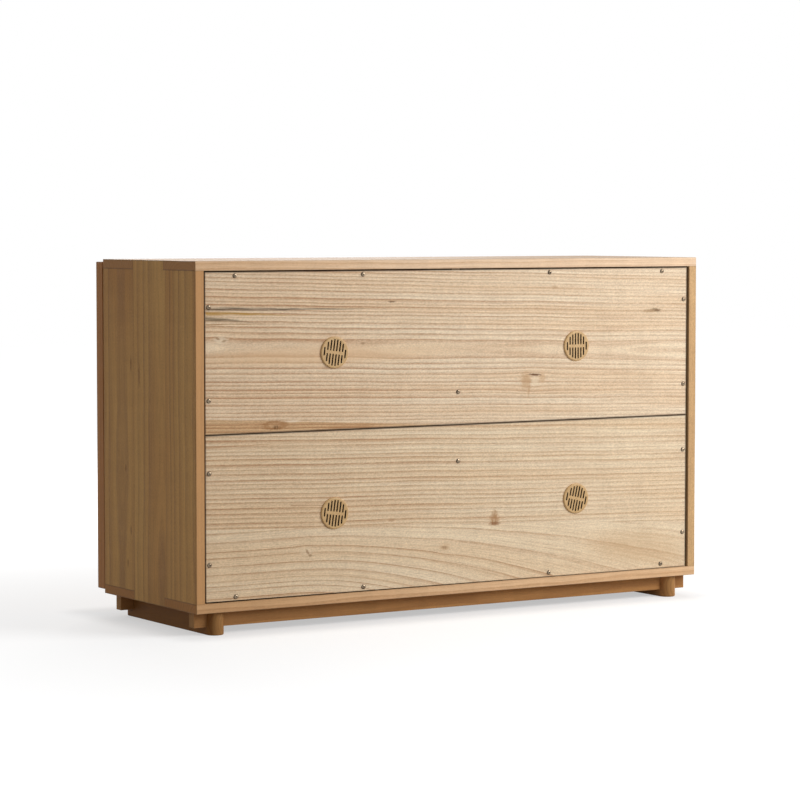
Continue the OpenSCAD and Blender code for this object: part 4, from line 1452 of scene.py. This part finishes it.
@dataclass
class Drawer:
    """One drawer: its front, box, handle, screws and slides."""

    row: str
    column: str
    seed: float
    arris: float = 0.5 * MM
    cross_turn: float = 0.8

    def node(self, piece: str) -> str:
        """Returns the full name of one of the drawer's nodes or pieces, or of its body."""
        return f"{self.row}_{self.column}_{piece}"

    def dress(self) -> None:
        """Dresses the box and the front and makes the handle and its screws."""
        wall = {"staves": 0.12, "stave_start": -0.1}
        figures = {
            "front": Figure(Run.X_FLAT_Y, self.seed, pith_depth=0.06, pith_across=0.03, wander=0.02),
            "left_wall": Figure(Run.Y_FLAT_X, self.seed + 1, **wall),
            "right_wall": Figure(Run.Y_FLAT_X, self.seed + 2, **wall),
            "rear_wall": Figure(Run.X_FLAT_Y, self.seed + 3, **wall),
            "bottom": Figure(Run.X_FLAT_Z, self.seed + 4, pith_depth=0.03, wander=0.03),
        }
        for piece, figure in figures.items():
            wood = FRONT_WOOD if piece == "front" else INNER_WOOD
            cut_board(self.node(piece), wood, figure, self.arris)
        body = self.node("drawer")
        grip = self.make_handle(body)
        name, node = self.node("handle_screw_heads"), self.node("handle_screws")
        dress(screws(name, node, Facing.BACK, self.cross_turn, body), bpy.data.materials["nickel"])
        for piece in ("slide_members", "intermediate_members"):
            dress(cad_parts[self.node(piece)], bpy.data.materials["zinc"])
        log.info("%s %s drawer: handle of %d points", self.row, self.column, len(grip.data.vertices))

    def make_handle(self, body: str) -> bpy.types.Object:
        """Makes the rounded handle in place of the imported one."""
        name = self.node("handle")
        low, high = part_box(name)
        centre = ((low.x + high.x) / 2, high.y, (low.z + high.z) / 2)
        points = DRAWER_HANDLE.points(centre)
        faces = grid_faces(*points.shape[:2])
        grip = surface(self.node("bar_handle"), points.reshape(-1, 3), faces, body)
        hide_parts(name)
        figure = Figure(Run.X_FLAT_Z, self.seed + 5, pith_depth=0.03)
        dress(grip, wood_material(name + "_wood", HANDLE_WOOD, figure, tuple(low), tuple(high)))
        return grip


@dataclass
class Studio:
    """A white studio with a large soft lamp at the photo's right and a weaker one before the drawers."""

    camera_place: Point = (3.2282, 5.1108, 0.7902)
    camera_turn: float = 147.711
    camera_tilt: float = -3.460
    lens: float = 131.34
    ambient: float = 0.36
    key_power: float = 112.0
    key_place: Point = (-2.3, 2.6, 1.85)
    key_size: float = 2.2
    front_power: float = 60.0
    front_place: Point = (-1.2, -3.2, 2.2)
    front_size: float = 2.0
    aim: Point = (0.0, 0.0, 0.36)
    # The floor's glow under, near and far from the chest: dimmest round the footprint, a painted shadow.
    glow_under: float = 0.50
    glow_near: float = 0.12
    glow_far: float = 0.20
    contact_reach: float = 0.08
    far_reach: float = 1.9

    def build(self) -> None:
        """Sets up the camera, lamps, world and floor."""
        scene = bpy.context.scene
        scene.view_settings.view_transform = "Standard"
        view = bpy.data.cameras.new("photo_view")
        view.lens = self.lens
        view.sensor_width = 36.0
        view.clip_end = 60.0
        camera = bpy.data.objects.new("photo_view", view)
        camera.location = self.camera_place
        camera.rotation_euler = (math.radians(90 + self.camera_tilt), 0.0, math.radians(self.camera_turn))
        scene.collection.objects.link(camera)
        scene.camera = camera
        self.lamp("key", self.key_place, self.key_size, self.key_power)
        self.lamp("front_fill", self.front_place, self.front_size, self.front_power)
        self.make_world()
        self.make_floor()

    def lamp(self, name: str, place: Point, size: float, power: float) -> None:
        """Adds a square soft lamp aimed at the chest."""
        light = bpy.data.lights.new(name, "AREA")
        light.size = size
        light.energy = power
        lamp = bpy.data.objects.new(name, light)
        lamp.location = place
        towards = np.subtract(self.aim, place)
        lamp.rotation_euler = (
            math.pi / 2 + math.atan2(towards[2], math.hypot(towards[0], towards[1])),
            0.0,
            math.atan2(-towards[0], towards[1]),
        )
        bpy.context.scene.collection.objects.link(lamp)

    @staticmethod
    def seen(g: Graph) -> Socket:
        """Returns 1 for rays that show the background, straight or in a reflection, and 0 for the rest."""
        path = g.node("LightPath").outputs
        shown = g.larger(path["Is Camera Ray"], path["Is Glossy Ray"])
        return g.larger(shown, path["Is Transmission Ray"])

    def make_world(self) -> None:
        """Makes a world that looks white and lights the object gently."""
        world = bpy.data.worlds.new("white_studio")
        bpy.context.scene.world = world
        world.use_nodes = True
        world.node_tree.nodes.clear()
        g = Graph(world.node_tree)
        strength = g.times_plus(self.seen(g), 1.0 - self.ambient, self.ambient)
        g.show(g.node("Background", {"Color": WHITE, "Strength": strength}), "OutputWorld")

    def make_floor(self) -> None:
        """Makes a wide pale floor that looks white away from the object's shadow.

        Its glow, seen by the camera and in reflections only, rises with the distance from the chest's
        footprint, which paints a shadow round the chest over the real one: quickly over the first few
        centimetres, as a painted contact shadow, and slowly after that.
        """
        reach = 12.0
        points = np.array([(-reach, -reach, 0), (reach, -reach, 0), (reach, reach, 0), (-reach, reach, 0)])
        mesh = bpy.data.meshes.new("floor")
        mesh.from_pydata(points.tolist(), [], [(0, 1, 2, 3)])
        floor = bpy.data.objects.new("floor", mesh)
        bpy.context.scene.collection.objects.link(floor)
        material, g = new_material("pale_floor")
        half_width, half_depth, _ = CAD_BOX[1]
        x, y, _ = g.split(g.position())
        past_x = g.larger(g.minus(g.absolute(x), half_width), 0.0)
        past_y = g.larger(g.minus(g.absolute(y), half_depth), 0.0)
        away = g.math("SQRT", g.squares(past_x, past_y))
        # Painted shadow: the glow dims towards the footprint, over the real shadow in the floor's matt
        # shade.
        near = g.ramp(away, 0.0, self.contact_reach, self.glow_under, self.glow_under + self.glow_near)
        level = g.plus(near, g.ramp(away, 0.0, self.far_reach, 0.0, self.glow_far))
        matt = {"Base Color": paint(188, 188, 188), "Roughness": 0.9, "Specular IOR Level": 0.0}
        shade = g.node("BsdfPrincipled", matt)
        glow = g.node("Emission", {"Color": WHITE, "Strength": g.times(self.seen(g), level)})
        g.show(g.node("AddShader", {0: shade.outputs[0], 1: glow.outputs[0]}))
        dress(floor, material)


def main() -> None:
    """Builds each part of the chest and then the studio."""
    logging.basicConfig(level=logging.INFO, format="%(name)s: %(message)s")
    ZINC.material("zinc")
    Case().dress()
    Back().dress()
    Base().dress()
    FrontFrame().dress()
    dress(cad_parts["case_slide_members"], bpy.data.materials["zinc"])
    for row_number, row in enumerate(ROWS):
        for column_number, column in enumerate(COLUMNS):
            seed = 101.0 + 17.0 * row_number + 31.0 * column_number
            Drawer(row, column, seed).dress()
    Studio().build()


if __name__ == "__main__":
    main()
